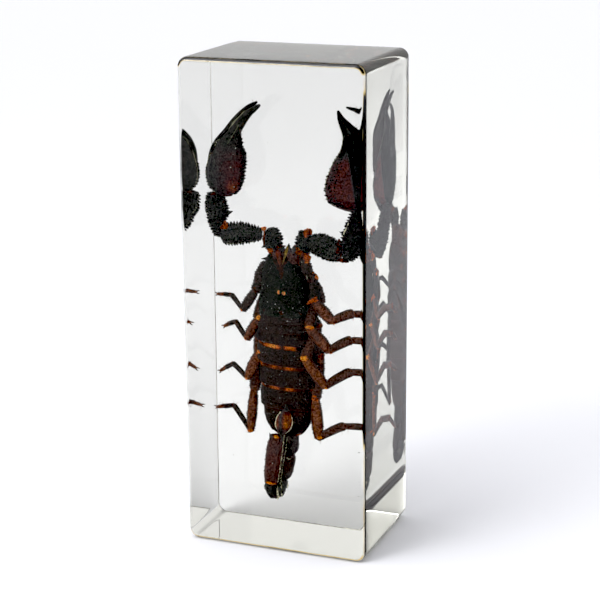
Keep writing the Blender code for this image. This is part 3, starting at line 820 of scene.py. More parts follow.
# x, y, z, half width, half depth and warmth along each part
arms = {
    ("left", "coxa"): (
        (-2.4, 5.6, 64.6, 1.0, 0.9, 0.5), (-2.7, 5.5, 65.6, 1.7, 1.6, 0.5), (-3.3, 5.3, 67.8, 1.7, 1.6, 0.6),
        (-4.0, 5.0, 69.2, 1.4, 1.4, 0.7), (-4.4, 4.9, 70.0, 0.6, 0.6, 0.8),
    ),
    ("left", "trochanter"): (
        (-4.9, 4.9, 68.7, 0.6, 0.6, 0.15), (-4.9, 4.85, 69.3, 1.35, 1.3, 0.12),
        (-4.5, 4.8, 70.6, 1.9, 1.75, 0.1), (-4.5, 4.7, 72.1, 1.7, 1.6, 0.1), (-4.8, 4.6, 73.2, 1.0, 1.0, 0.1),
        (-5.0, 4.6, 73.7, 0.4, 0.4, 0.1),
    ),
    ("left", "femur"): (
        (-6.9, 4.5, 71.9, 0.6, 0.6, 0.2), (-7.6, 4.3, 71.95, 1.05, 1.1, 0.12),
        (-9.2, 3.8, 72.1, 1.6, 1.6, 0.1), (-11.3, 3.2, 72.1, 2.0, 2.0, 0.1),
        (-13.4, 2.7, 71.95, 2.15, 2.1, 0.12), (-14.9, 2.3, 71.6, 2.0, 1.9, 0.16),
        (-16.0, 2.1, 71.1, 1.5, 1.4, 0.14), (-16.6, 2.0, 70.9, 0.7, 0.7, 0.14),
    ),
    ("left", "patella"): (
        (-19.1, 6.6, 80.7, 0.9, 0.9, 0.1), (-19.05, 6.3, 79.8, 1.75, 1.6, 0.08),
        (-18.6, 5.6, 78.1, 2.2, 2.0, 0.08), (-18.05, 4.7, 76.4, 2.25, 2.1, 0.08),
        (-17.95, 3.6, 74.7, 1.75, 1.9, 0.1), (-17.35, 2.5, 72.9, 1.25, 1.5, 0.1),
        (-16.8, 1.9, 71.7, 0.8, 1.0, 0.12), (-16.5, 1.7, 71.2, 0.35, 0.4, 0.12),
    ),
    ("right", "coxa"): (
        (0.4, 5.6, 64.6, 1.0, 0.9, 0.5), (0.8, 5.5, 65.6, 1.7, 1.6, 0.5), (1.9, 5.2, 67.8, 1.7, 1.6, 0.6),
        (2.7, 4.9, 69.2, 1.4, 1.4, 0.7), (3.1, 4.8, 70.0, 0.6, 0.6, 0.8),
    ),
    ("right", "trochanter"): (
        (4.2, 4.6, 68.7, 0.6, 0.6, 0.15), (4.0, 4.6, 69.3, 1.35, 1.3, 0.12), (3.5, 4.5, 70.7, 1.75, 1.7, 0.1),
        (3.5, 4.4, 72.1, 1.5, 1.5, 0.1), (3.8, 4.3, 73.2, 0.9, 0.9, 0.12), (3.9, 4.3, 73.6, 0.4, 0.4, 0.12),
    ),
    ("right", "femur"): (
        (4.5, 4.1, 70.95, 0.9, 0.9, 0.2), (5.2, 3.9, 70.85, 1.5, 1.5, 0.12), (6.7, 3.5, 70.8, 2.1, 1.9, 0.1),
        (8.4, 3.1, 70.6, 2.3, 2.0, 0.1), (10.1, 2.8, 69.95, 2.15, 2.0, 0.12),
        (11.4, 2.6, 69.55, 1.8, 1.75, 0.2), (12.4, 2.5, 69.2, 1.3, 1.3, 0.3),
        (12.9, 2.5, 69.0, 0.7, 0.7, 0.3),
    ),
    # the right patella has no warmth and takes the ramp's near black: its own dark colour deepened as painted
    # shade
    ("right", "patella"): (
        (17.0, 3.2, 79.9, 0.9, 1.2, 0.0), (16.9, 3.0, 78.9, 1.5, 2.1, 0.0), (16.6, 2.5, 76.9, 1.95, 2.9, 0.0),
        (16.15, 1.9, 74.8, 2.15, 3.2, 0.0), (15.7, 1.5, 72.8, 2.25, 3.1, 0.0),
        (15.2, 1.1, 70.9, 2.0, 2.8, 0.02), (14.5, 1.0, 69.4, 1.4, 2.0, 0.1), (13.9, 1.2, 68.7, 0.7, 0.9, 0.2),
    ),
}
armKeels = ((0, 0.06, 8), (180, 0.06, 8), (60, 0.04, 7), (120, 0.04, 7), (240, 0.04, 7), (300, 0.04, 7))
# membranes: centre, half width, half depth, half height and warmth
armTissue = (
    (-6.55, 4.3, 73.3, 0.6, 0.8, 0.55, 0.72), (-6.4, 4.5, 71.4, 0.4, 1.1, 1.7, 0.35),
    (-15.35, 1.8, 73.5, 0.95, 1.0, 1.0, 0.42), (-4.7, 4.5, 68.5, 1.0, 1.2, 0.85, 0.55),
    (-18.9, 5.6, 80.3, 1.0, 1.1, 0.6, 0.1), (4.1, 3.8, 73.3, 1.1, 1.1, 1.0, 0.5),
    (2.1, 4.0, 68.6, 1.5, 1.0, 0.5, 0.5), (4.0, 4.0, 67.3, 0.85, 1.0, 1.3, 0.6),
    (12.2, 2.1, 70.3, 0.75, 1.3, 1.75, 0.16), (13.2, 2.0, 67.9, 1.2, 1.0, 0.5, 0.2),
    (16.6, 3.4, 79.2, 0.9, 1.0, 0.7, 0.05),
)
# thorns: root, tip and half width
armThorns = (
    ((-14.9, 3.5, 76.6), (-14.1, 3.3, 76.9), 0.45), ((-6.1, 4.6, 69.4), (-6.9, 4.4, 69.0), 0.4),
    ((-6.0, 4.3, 66.4), (-6.9, 4.2, 66.3), 0.35), ((13.3, 2.4, 74.0), (12.5, 2.3, 74.3), 0.35),
    ((2.1, 4.0, 71.0), (1.3, 3.9, 70.9), 0.3), ((2.6, 4.0, 72.6), (2.2, 3.9, 73.4), 0.3),
    ((5.9, 4.0, 69.2), (6.6, 3.9, 68.9), 0.35),
)


rims = []  # cream lines of light down the left sides of the arms and claws: points, half width and warmth
# the side of the tube that each arm's runs along, in degrees
armRims = {("left", "patella"): 24, ("left", "femur"): 156}


def rimAlong(skin, angle, span, lift, width=0.06, warm=0.6):
    # a line along one side of a tube, just off its surface
    line, out = columnAt(skin, angle)
    picked = np.linspace(span[0] * (len(line) - 1), span[1] * (len(line) - 1), 14).astype(int)
    rims.append((line[picked] + lift * out[picked], width, warm))


def makeArms():
    form, tissue, bristles = Form(), Form(), Form()
    toothLines = [angle + flip for angle in (-30, -18, -6, 6, 18, 30, 60, 90, 120) for flip in (0, 180)]
    for n, (part, rows) in enumerate(arms.items()):
        length = math.dist(rows[0][:3], rows[-1][:3])
        seed = 300 + 20 * (n // 4) + 3 * (n % 4)  # four parts in each arm
        skin = tube(form, rows, backOfAnimal, sides=64, rings=int(20 + 5 * length), square=2.4,
                    keels=armKeels, grain=0.18, cell=0.6, seed=seed, grainHighlight=0.2)
        heat = rows[2][5]
        if part in armRims:
            rimAlong(skin, armRims[part], span=(0.08, 0.92), lift=0.2)
        crests(form, skin, toothLines, gap=0.74, width=0.27, height=0.62, warm=heat - 0.05, seed=seed + 40,
               span=(0.05, 0.95))
        scatter(form, skin, count=int(45 * length), width=0.2, height=0.22, warm=heat + 0.02, seed=seed + 1,
                rowSpan=(0.06, 0.94))
        hairs(bristles, skin, np.random.default_rng(seed + 2), rows=(2, len(skin[0]) - 2),
              count=int(length * 2), lengths=(0.5, 1.0), seed=seed)
    for root, tip, width in armThorns:
        rows = between(root, tip, ((0.0, 1.3, 1.3, 1.0), (0.4, 0.8, 0.8, 1.0), (1.0, 0.15, 0.15, 1.0)), width,
                       width, 0.1)
        tube(form, rows, upwards, sides=14, rings=14, grain=0.05, cell=0.4)
    for k, (*centre, wide, deep, tall, warm) in enumerate(armTissue):
        ball(tissue, centre, wide, deep, tall, warm, sides=32, rings=24, rough=0.42, seed=k)
    form.piece("arms", looks["arm"])
    tissue.piece("armMembranes", looks["membrane"])
    bristles.piece("armBristles", looks["leg"])


makeArms()
print("arms made")


# the hand runs on into its fixed finger: x, y, z, half width, half thickness, warmth
claws = {
    "left": {
        "twist": -12.0,
        "rim": 157,
        "hand": (
            (-16.0, 5.6, 80.0, 1.3, 0.9, 0.3), (-16.1, 5.7, 80.7, 2.45, 1.5, 0.45),
            (-16.15, 5.8, 81.9, 3.75, 2.2, 0.6), (-16.25, 5.7, 83.4, 4.55, 2.65, 0.6),
            (-16.2, 5.7, 85.2, 4.85, 2.85, 0.5), (-15.85, 6.0, 87.4, 4.65, 2.85, 0.4),
            (-15.4, 6.3, 89.0, 4.4, 2.75, 0.3), (-15.1, 6.5, 90.8, 3.85, 2.5, 0.2),
            (-14.75, 6.6, 92.4, 2.9, 2.2, 0.15), (-14.15, 6.4, 94.0, 2.0, 1.85, 0.1),
            (-13.45, 6.0, 95.4, 1.3, 1.5, 0.06), (-11.95, 5.5, 97.4, 1.05, 1.15, 0.05),
            (-10.1, 5.0, 99.5, 0.85, 0.9, 0.04), (-8.3, 4.5, 100.8, 0.6, 0.62, 0.03),
            (-7.0, 4.1, 101.65, 0.25, 0.25, 0.02),
        ),
        "finger": (
            (-19.8, 6.6, 86.6, 0.6, 0.8, 0.1), (-19.65, 6.9, 88.4, 0.95, 1.2, 0.08),
            (-19.1, 7.3, 90.4, 1.05, 1.3, 0.05), (-17.9, 7.6, 92.5, 1.1, 1.3, 0.05),
            (-15.6, 7.0, 95.05, 1.05, 1.2, 0.05), (-13.5, 6.6, 97.6, 0.98, 1.1, 0.05),
            (-11.25, 6.3, 99.8, 0.85, 0.9, 0.04), (-9.7, 6.0, 101.15, 0.6, 0.62, 0.03),
            (-8.1, 5.7, 102.15, 0.25, 0.25, 0.02),
        ),
        "glow": (-14.0, 82.4, 1.5, 1.9),  # x and z of the warm spot, and how far it spreads
    },
    "right": {
        "twist": 60.0,
        "rim": 197,
        "hand": (
            (13.8, 3.9, 79.2, 1.6, 0.9, 0.3), (13.75, 4.1, 79.7, 3.3, 1.7, 0.5),
            (13.5, 4.5, 80.9, 5.0, 2.7, 0.6), (13.2, 4.7, 84.0, 6.0, 3.1, 0.62),
            (14.1, 4.8, 87.2, 5.6, 3.1, 0.6), (14.9, 5.2, 90.4, 4.8, 2.7, 0.5),
            (15.0, 5.5, 93.3, 3.4, 2.2, 0.2), (14.4, 6.1, 95.4, 2.6, 1.7, 0.05),
            (13.4, 6.5, 96.8, 1.8, 1.3, 0.04), (12.3, 6.8, 98.2, 1.2, 0.9, 0.04),
            (11.5, 7.0, 99.3, 0.8, 0.7, 0.03), (10.8, 7.2, 101.0, 0.25, 0.25, 0.02),
        ),
        "finger": (
            (16.0, 6.2, 88.5, 0.9, 1.0, 0.1), (16.4, 6.4, 90.5, 2.0, 1.8, 0.08),
            (17.0, 6.5, 93.6, 1.9, 1.7, 0.05), (17.5, 6.5, 96.4, 1.5, 1.3, 0.05),
            (17.5, 6.6, 98.8, 1.1, 1.0, 0.05), (16.8, 6.9, 100.4, 0.7, 0.7, 0.04),
            (14.8, 7.5, 101.3, 0.45, 0.45, 0.03), (12.6, 7.9, 101.75, 0.2, 0.2, 0.02),
        ),
        "glow": (9.6, 82.4, 1.8, 2.6),
    },
}
handKeels = ((0, 0.03, 5), (180, 0.03, 5), (50, 0.035, 4), (90, 0.03, 4), (130, 0.035, 4), (230, 0.03, 4),
             (270, 0.03, 4), (310, 0.03, 4))
fingerKeels = ((45, 0.07, 12), (90, 0.06, 12), (135, 0.07, 12), (270, 0.06, 12))


def handWarmth(points, out, claw, side):
    # wine red low on the palm, with an orange glow, and black towards the fingers; painted shade darkens it
    # towards the edges
    x, z = points[..., 0], points[..., 2]
    glowX, glowZ, spreadX, spreadZ = claw["glow"]
    glow = hump(x, glowX, spreadX) * hump(z, glowZ, spreadZ)
    if side == "left":
        palm = ease(93.5, 88.0, z) * ease(-19.3, -16.5, x) * (0.55 + 0.45 * ease(-17.5, -13.0, x))
        warm = 0.1 + 0.26 * palm + 0.4 * glow * palm
    else:
        # on the right hand, past a slanting line, the outer side is its own dark colour, deepened to black as
        # painted shade
        palm = ease(93.0, 89.5, z) * ease(0.14, 0.02, x + 0.24 * points[..., 1] - 15.3 - 0.15 * (88.0 - z))
        warm = 0.48 * palm + 0.12 * glow * palm
    twist = math.radians(claw["twist"])
    # painted shade: the sides that turn away across the hand's width are darkened
    edge = ease(0.74, 0.99, np.abs(out[..., 0] * math.cos(twist) + out[..., 1] * math.sin(twist)))
    grain = 0.6 * lumps(points, 0.7, 5) + 0.4 * lumps(points, 0.35, 6) - 0.5
    warm = warm - 0.16 * edge + 0.3 * grain * (0.3 + 0.7 * palm)
    return np.clip(warm, 0.0, 1.0)


def makeClaws():
    for n, (side, claw) in enumerate(claws.items()):
        form, bristles = Form(), Form()
        twist = math.radians(claw["twist"])
        thinAxis = np.array([math.sin(twist), -math.cos(twist), 0.0])
        hand = tube(form, claw["hand"], thinAxis, sides=120, rings=105, square=2.15, keels=handKeels,
                    grain=0.09, cell=0.5, seed=400 + n)
        paintLast(form, handWarmth(*hand, claw, side))
        rimAlong(hand, claw["rim"], span=(0.04, 0.86), lift=0.12)
        edgeLines = [angle + flip for angle in (-26, -15, -5, 5, 15, 26) for flip in (0, 180)]
        crests(form, hand, edgeLines, gap=0.85, width=0.24, height=0.36, warm=0.02, seed=430 + n,
               span=(0.05, 0.6))
        crests(form, hand, (50, 90, 130, 230, 270, 310), gap=0.6, width=0.14, height=0.13, warm=0.1,
               seed=420 + n, span=(0.05, 0.9))
        finger = tube(form, claw["finger"], thinAxis, sides=60, rings=90, square=2.1, keels=fingerKeels,
                      grain=0.05, seed=430 + n)
        bite = 0 if side == "left" else 180
        crest(form, finger, bite, gap=0.42, width=0.14, height=0.2, warm=0.02, seed=440 + n,
              span=(0.35, 0.97))
        crest(form, hand, 180 - bite, gap=0.42, width=0.12, height=0.18, warm=0.02, seed=450 + n,
              span=(0.72, 0.97))
        dice = np.random.default_rng(460 + n)
        hairs(bristles, hand, dice, rows=(8, len(hand[0]) - 4), count=70, lengths=(0.5, 1.1), seed=470 + n)
        hairs(bristles, finger, dice, rows=(8, len(finger[0]) - 4), count=40, lengths=(0.4, 0.9),
              seed=480 + n)
        form.piece(side + "Claw", looks["hand"])
        bristles.piece(side + "ClawBristles", looks["leg"])


makeClaws()
print("claws made")


chelicerae = (
    {"root": (-2.9, 4.6, 64.4), "knuckle": (-2.9, 3.5, 68.2), "tips": ((-3.7, 3.0, 69.8), (-1.3, 2.9, 69.8))},
    {"root": (0.4, 4.6, 64.2), "knuckle": (0.6, 3.5, 67.9), "tips": ((-0.05, 2.9, 70.6), (1.0, 3.0, 70.1))},
)
# a tan spike and a red wedge before the jaws: x, y, z, half width, half depth and warmth along each
mouthSpikes = (
    ((-0.3, 2.35, 70.1, 0.12, 0.1, 0.6), (-0.4, 2.25, 69.4, 0.3, 0.2, 0.85),
     (-0.65, 2.15, 68.4, 0.32, 0.2, 0.8), (-1.0, 2.0, 67.2, 0.2, 0.15, 0.65),
     (-1.45, 1.8, 65.7, 0.05, 0.05, 0.5)),
    ((-2.8, 2.7, 68.9, 0.3, 0.2, 0.0), (-2.6, 2.4, 68.2, 0.65, 0.35, 0.05),
     (-2.35, 2.2, 67.2, 0.6, 0.35, 0.12), (-2.1, 2.0, 66.2, 0.42, 0.25, 0.18),
     (-1.9, 1.8, 65.3, 0.12, 0.12, 0.15)),
)


def makeMouthparts():
    form, brush = Form(), Form()
    profile = ((0.0, 0.5, 0.5, 1.0), (0.1, 0.9, 0.9, 1.0), (0.6, 1.05, 1.0, 0.9), (0.92, 0.85, 0.85, 0.8),
               (1.0, 0.4, 0.4, 0.8))
    for n, jaw in enumerate(chelicerae):
        start = np.array(jaw["knuckle"])
        rows = between(jaw["root"], start, profile, 1.35, 1.3, 0.44)
        skin = tube(form, rows, backOfAnimal, sides=60, rings=60, square=2.2, grain=0.12, cell=0.6,
                    seed=500 + n, grainHighlight=0.2)
        scatter(form, skin, count=90, width=0.12, height=0.14, warm=0.5, seed=505 + n)
        for k, tip in enumerate(jaw["tips"]):
            bend = np.array([0.35 * (1 if tip[0] > start[0] else -1), 0, 0])
            rows = []
            for share, size, warm in ((0.0, 0.62, 0.45), (0.3, 0.6, 0.3), (0.65, 0.4, 0.06),
                                      (1.0, 0.12, 0.0)):
                spot = start + (tip - start) * share + bend * math.sin(math.pi * share)
                rows.append((*spot, size, size, warm))
            finger = tube(form, rows, backOfAnimal, sides=16, rings=26)
            crest(form, finger, 180 * k, gap=0.38, width=0.12, height=0.22, seed=510 + 2 * n + k,
                  span=(0.3, 0.95))
        hairs(brush, skin, np.random.default_rng(520 + n), rows=(30, 57), count=30, lengths=(0.5, 1.1),
              seed=530 + n, width=0.04, warm=0.3, rise=(0.6, 1.0))
    for n, rows in enumerate(mouthSpikes):
        tube(brush, rows, backOfAnimal, rings=50, grain=0.06, cell=0.3, seed=550 + n)
    form.piece("chelicerae", looks["tail"])
    brush.piece("mouthBristles", looks["tuft"])


makeMouthparts()
print("mouthparts made")


underside = {
    "sternum": (-1.1, 7.25, 57.6),
    "combRoots": ((-1.9, 7.2, 54.0), (-0.5, 7.2, 54.0)),
    "combTips": ((-6.4, 7.3, 50.3), (4.0, 7.3, 50.3)),
    "combTeeth": 13,
}


def makeUnderside():
    form = Form()
    x, y, z = underside["sternum"]
    ball(form, (x, y, z), 1.3, 0.45, 1.7, 0.45, sides=30, rings=20)
    for way in (-1, 1):
        ball(form, (x + 0.75 * way, y - 0.05, z - 2.6), 0.85, 0.4, 0.9, 0.5, sides=24, rings=16)
    combProfile = ((0.0, 0.5, 0.6, 1.0), (0.08, 1.0, 1.0, 1.0), (0.6, 0.8, 0.9, 1.0), (1.0, 0.35, 0.5, 1.0))
    toothProfile = ((0.0, 0.6, 0.8, 1.0), (0.5, 1.0, 1.0, 1.0), (1.0, 0.4, 0.6, 1.1))
    for n, (root, tip) in enumerate(zip(underside["combRoots"], underside["combTips"])):
        root, tip = np.array(root), np.array(tip)
        tube(form, between(root, tip, combProfile, 0.42, 0.3, 0.55), -backOfAnimal, sides=16, rings=24,
             seed=600 + n)
        for k in range(underside["combTeeth"]):
            share = (k + 0.6) / underside["combTeeth"]
            start = root + (tip - root) * share + np.array([0.0, 0.0, -0.2])
            end = start + np.array([0.25 * (-1 if n == 0 else 1), 0.08, -1.35 + 0.45 * share])
            tube(form, between(start, end, toothProfile, 0.16, 0.14, 0.7, past=0.0), -backOfAnimal, sides=8,
                 rings=9)
    form.piece("undersidePlates", looks["leg"])


makeUnderside()
print("underside made")


# the joints of the five segments and the vesicle's end; then each one's half width, half depth and warmth
tail = {
    "joints": ((-0.6, 5.0, 26.2), (-1.0, 5.2, 19.6), (-2.9, 5.2, 13.2), (-4.0, 2.5, 9.6), (-4.25, -0.5, 12.9),
               (-2.65, -0.2, 24.9)),
    "sizes": ((2.0, 1.8, 0.2), (1.85, 1.75, 0.25), (1.8, 1.7, 0.08), (1.8, 1.75, 0.05), (1.85, 1.65, 0.42)),
    "profile": ((-0.02, 0.4, 0.4, 1.0), (0.02, 0.72, 0.72, 1.0), (0.15, 0.95, 0.95, 1.0),
                (0.5, 1.06, 1.0, 1.0), (0.8, 1.02, 1.02, 0.9), (0.95, 0.72, 0.8, 0.9),
                (1.02, 0.35, 0.35, 0.9)),
    "keelAngles": (20, 60, 120, 160, 200, 250, 290, 340),
    # the two points at the end of the last segment
    "points": (((-3.9, -0.9, 23.6), (-4.3, -1.3, 25.6)), ((-1.6, -0.9, 23.8), (-1.1, -1.3, 25.2))),
    "vesicle": ((-1.8, -0.4, 25.6, 0.45, 0.5, 0.3), (-1.5, -0.5, 26.2, 1.2, 1.15, 0.35),
                (-0.95, -0.6, 27.8, 1.9, 1.7, 0.55), (-0.5, -0.6, 29.4, 1.85, 1.65, 0.6),
                (-0.35, -0.4, 30.7, 1.2, 1.1, 0.4), (-0.4, 0.0, 31.5, 0.6, 0.55, 0.2),
                (-0.5, 0.6, 32.1, 0.32, 0.3, 0.1), (-0.8, 1.2, 32.3, 0.16, 0.16, 0.0),
                (-1.2, 1.8, 31.9, 0.04, 0.04, 0.0)),
}
tailTissue = (
    (-0.6, 4.9, 26.0, 1.7, 1.6, 0.9, 0.1), (-1.0, 5.1, 19.6, 1.35, 1.4, 0.6, 0.15),
    (-2.9, 5.0, 13.1, 1.4, 1.5, 0.8, 0.05), (-4.0, 2.4, 9.9, 1.4, 1.5, 1.3, 0.05),
    (-4.2, -1.05, 13.15, 1.35, 1.2, 0.45, 0.8), (-2.6, -1.3, 24.75, 0.62, 0.7, 0.42, 1.0),
)


def makeTail():
    form, tissue = Form(), Form()
    keels = tuple((angle, 0.06, 7) for angle in tail["keelAngles"])
    for n, (start, end, (width, depth, warm)) in enumerate(zip(tail["joints"], tail["joints"][1:],
                                                               tail["sizes"])):
        length = math.dist(start, end)
        rows = between(start, end, tail["profile"], width, depth, warm, past=0.1)
        thinAxis = (1.0, 0.0, 0.0) if n in (2, 3) else backOfAnimal
        skin = tube(form, rows, thinAxis, sides=66, rings=int(20 + 5 * length), square=2.5, keels=keels,
                    grain=0.09, seed=700 + n)
        crests(form, skin, tail["keelAngles"], gap=0.55, width=0.15, height=0.2, warm=warm, seed=710 + n * 9,
               span=(0.06, 0.95))
        if n == 4:  # the last segment has larger teeth down its sides
            crests(form, skin, (0, 180), gap=0.5, width=0.24, height=0.46, warm=warm * 0.3, seed=760,
                   span=(0.05, 0.98))
        scatter(form, skin, count=int(18 * length), width=0.1, height=0.1, warm=warm, seed=770 + n)
    skin = tube(form, tail["vesicle"], backOfAnimal, sides=66, rings=80,
                keels=((90, 0.05, 9), (30, 0.03, 8), (150, 0.03, 8)), grain=0.05, cell=0.5, seed=780)
    x, z = skin[0][..., 0], skin[0][..., 2]
    dark = 0.45 * hump(x, -1.35, 0.45) + 0.3 * ease(27.6, 26.4, z)
    patch = 0.25 * hump(x, 0.1, 0.6) * hump(z, 28.6, 1.2) * (0.4 + 1.2 * lumps(skin[0], 0.5, 9))
    paintLast(form, np.clip((0.64 + patch - dark) * ease(32.0, 30.4, z), 0.02, 1.0))
    scatter(form, skin, count=90, width=0.1, height=0.1, warm=0.5, seed=785, rowSpan=(0.1, 0.6))
    for *centre, wide, deep, tall, heat in tailTissue:
        ball(tissue, centre, wide, deep, tall, heat, sides=32, rings=20)
    for root, tip in tail["points"]:
        rows = between(root, tip, ((0.0, 0.9, 0.9, 1.0), (0.5, 0.7, 0.7, 0.6), (1.0, 0.1, 0.1, 0.2)), 0.5,
                       0.5, 0.3, past=0.0)
        tube(form, rows, backOfAnimal, sides=12, rings=14)
    form.piece("tail", looks["tail"])
    tissue.piece("tailMembranes", looks["membrane"])


makeTail()
print("tail made")


paleLines = (
    # points of a line, its half width and warmth; the vesicle's rims come first, pale lines painted as
    # highlights along its edges
    (((-2.2, -0.6, 25.9), (-2.9, -0.8, 27.4), (-2.75, -0.8, 28.8), (-2.3, -0.8, 30.0), (-1.6, -0.7, 30.9)),
     0.13, 1.0),
    (((-0.5, -0.9, 25.7), (0.75, -0.9, 27.0), (1.25, -0.9, 28.4), (1.15, -0.8, 29.8), (0.6, -0.7, 30.8)),
     0.12, 1.0),
    # glints at the tail's bend
    (((-2.5, -0.9, 12.4), (-2.6, -0.9, 11.0), (-2.4, -0.6, 9.8), (-2.7, -0.6, 8.9)), 0.2, 0.75),
    (((-0.9, 3.6, 12.6), (-0.95, 3.4, 12.0), (-1.1, 3.2, 11.2)), 0.12, 1.0),
    (((-0.15, 3.4, 18.7), (-0.6, 3.2, 18.6), (-1.1, 3.0, 18.9)), 0.1, 0.8),
    # thin pale lines at the first legs' hips
    (((5.3, 3.4, 59.8), (5.7, 3.4, 59.4), (6.1, 3.5, 58.9)), 0.05, 0.9),
    (((2.8, 3.2, 66.7), (3.0, 3.2, 66.3), (2.9, 3.2, 65.9)), 0.05, 0.8),
    (((4.0, 3.4, 63.4), (4.2, 3.4, 62.9), (4.1, 3.4, 62.5)), 0.05, 0.8),
    (((-7.3, 3.9, 59.3), (-7.1, 3.9, 58.8), (-7.3, 3.9, 58.5)), 0.07, 1.0),
    # painted light in the gaps between the fingers
    (((-18.9, 6.1, 92.2), (-16.2, 6.0, 94.4), (-13.6, 5.4, 97.6), (-9.9, 5.0, 100.6)), 0.055, 0.5),
    (((-15.1, 4.2, 92.4), (-13.7, 4.3, 94.6), (-12.6, 4.4, 96.4), (-12.1, 4.4, 97.8)), 0.045, 0.35),
    # slivers of light in the right arm's elbow
    (((15.0, 0.2, 77.0), (14.6, 0.1, 76.0), (13.9, 0.0, 74.6), (13.2, 0.2, 73.2)), 0.13, 1.0),
)
# rows of tiny bubbles beside the tail's last segment, as pale beads that paint their glints: points of the
# line, gap, radius and warmth
beadRows = (
    (((-0.75, -1.0, 25.2), (-1.05, -1.1, 22.4), (-1.55, -1.2, 18.8), (-2.05, -1.2, 15.6),
      (-2.35, -1.0, 13.6)), 0.3, 0.15, 0.95),
    (((-0.25, 0.2, 24.6), (-0.6, 0.2, 22.0), (-1.2, 0.2, 18.6), (-1.75, 0.2, 15.4), (-2.1, 0.2, 12.6)), 0.34,
     0.12, 0.7),
    (((-1.65, -0.9, 14.6), (-1.5, -0.9, 12.6), (-1.6, -0.9, 11.0), (-1.5, -0.9, 9.8)), 0.45, 0.16, 0.9),
)
# tiny air bubbles, drawn as white balls that paint their silvery glint
bubbleGlints = (
    (-13.4, 3.1, 90.2), (-14.1, 3.0, 87.2), (-13.4, 3.3, 82.7), (-17.4, 3.8, 88.2), (-17.8, 4.2, 92.6),
    (-12.9, 3.4, 91.6), (-1.2, 1.0, 54.6), (-2.1, 1.0, 55.6), (1.2, 1.3, 55.8), (-0.2, 1.2, 52.6),
    (-3.3, -2.6, 18.4), (-7.6, 4.0, 58.0),
)


def makePaintedHighlights():
    form = Form()
    for n, (points, width, warm) in enumerate((*paleLines, *rims)):
        rows = [(*point, width, width * 0.6, warm) for point in points]
        for end in (0, -1):
            rows[end] = (*points[end], 0.02, 0.02, warm)
        tube(form, rows, backOfAnimal, sides=8, rings=70, grain=width * 1.1, cell=0.4, seed=800 + n)
    dice = np.random.default_rng(830)
    for points, gap, radius, warm in beadRows:
        points = np.array(points)
        length = lengthsAlong(points)
        for spot in np.arange(0, length[-1], gap):
            centre = alongLine(spot, length, points) + dice.normal(0, 0.06, 3)
            size = radius * dice.uniform(0.5, 1.2)
            ball(form, centre, size, size, size * dice.uniform(0.9, 1.6), warm * dice.uniform(0.6, 1.05), 9,
                 7)
    form.piece("paintedHighlightLines", looks["pale"])


def makeSpecks():
    form = Form()
    for x, y, z in bubbleGlints:
        ball(form, (x, y - 0.1, z), 0.09, 0.09, 0.09, 1.0, sides=12, rings=9)
    dice = np.random.default_rng(900)
    low, high = lowCorner / mm, highCorner / mm
    for _ in range(70):  # dust all through the resin
        spot = low + (high - low) * dice.uniform(0.08, 0.92, 3)
        size = dice.uniform(0.03, 0.08)
        ball(form, spot, size, size, size * dice.uniform(0.8, 2.0), dice.uniform(0.0, 0.4), sides=8, rings=6)
    for _ in range(120):  # and pale specks on the animal's back, white balls that paint the glint of tiny bubbles
        z, across = dice.uniform(26, 66), dice.uniform(-0.8, 0.8)
        size = dice.uniform(0.03, 0.09)
        ball(form, onTrunk(across, z, 0.25), size, size, size, dice.uniform(0.3, 1.0), sides=8, rings=6)
    form.piece("specks", looks["speck"])


makePaintedHighlights()
makeSpecks()
print("films and specks made")


block = {
    "cornerRadius": 2.4,  # the four edges that run front to back
    "frontRadius": 1.2,
    "backRadius": 0.25,
    "steps": 10,
    "frontInsets": (14.0, 9.0, 6.5, 4.8, 3.6, 2.7, 2.1, 1.7, 1.4),  # rings of points on the front face
    # polishing leaves the faces a little lower near the front and back edges: depth, and how far it reaches
    "frontWear": (0.05, 1.6),
    "backWear": (0.10, 2.6),
    "capWear": (0.04, 2.2),
    # how dark the painted shade on the polished front edge is on each side, and on the back edge on the right
    "edges": {"top": 0.8, "right": 1.0, "bottom": 0.5, "left": 0.3, "back": 0.8},
    "edgeShadeSpan": (29.5, 106.0),  # the heights between which the painted shade on the right edge is darkest
}
# density times (1 - colour) is what the resin takes away in a metre
resin = {
    "ior": 1.55, "haze": (0.46, 0.46, 0.31), "hazeDensity": 11.5,
    # painted edge colours: clear, then painted gold glints, then the near black of painted shade
    "edge": ((0.3, (1.0, 1.0, 1.0)), (0.46, (0.85, 0.55, 0.16)), (0.6, (0.004, 0.004, 0.005)),
             (1.0, (0.001, 0.001, 0.001))),
}


def resinLook():
    made, tree, surface = plainLook("castResin")
    # the warm attribute carries the painted edge shade on the block
    mask = nodeOf(tree, "ShaderNodeAttribute", attribute_name="warm").outputs["Fac"]
    feed(surface, {"Base Color": rampOf(tree, mask, resin["edge"]), "Roughness": 0.0, "IOR": resin["ior"],
                   "Transmission Weight": 1.0})
    haze = {"Color": (*resin["haze"], 1.0), "Density": resin["hazeDensity"]}
    inside = nodeOf(tree, "ShaderNodeVolumeAbsorption", haze).outputs["Volume"]
    feed(tree.nodes["Material Output"], {"Volume": inside})
    return made


def straight(start, end, count=40):
    # points between two corners of the outline
    return [tuple(a + (b - a) * share for a, b in zip(start, end)) for share in np.arange(1, count) / count]


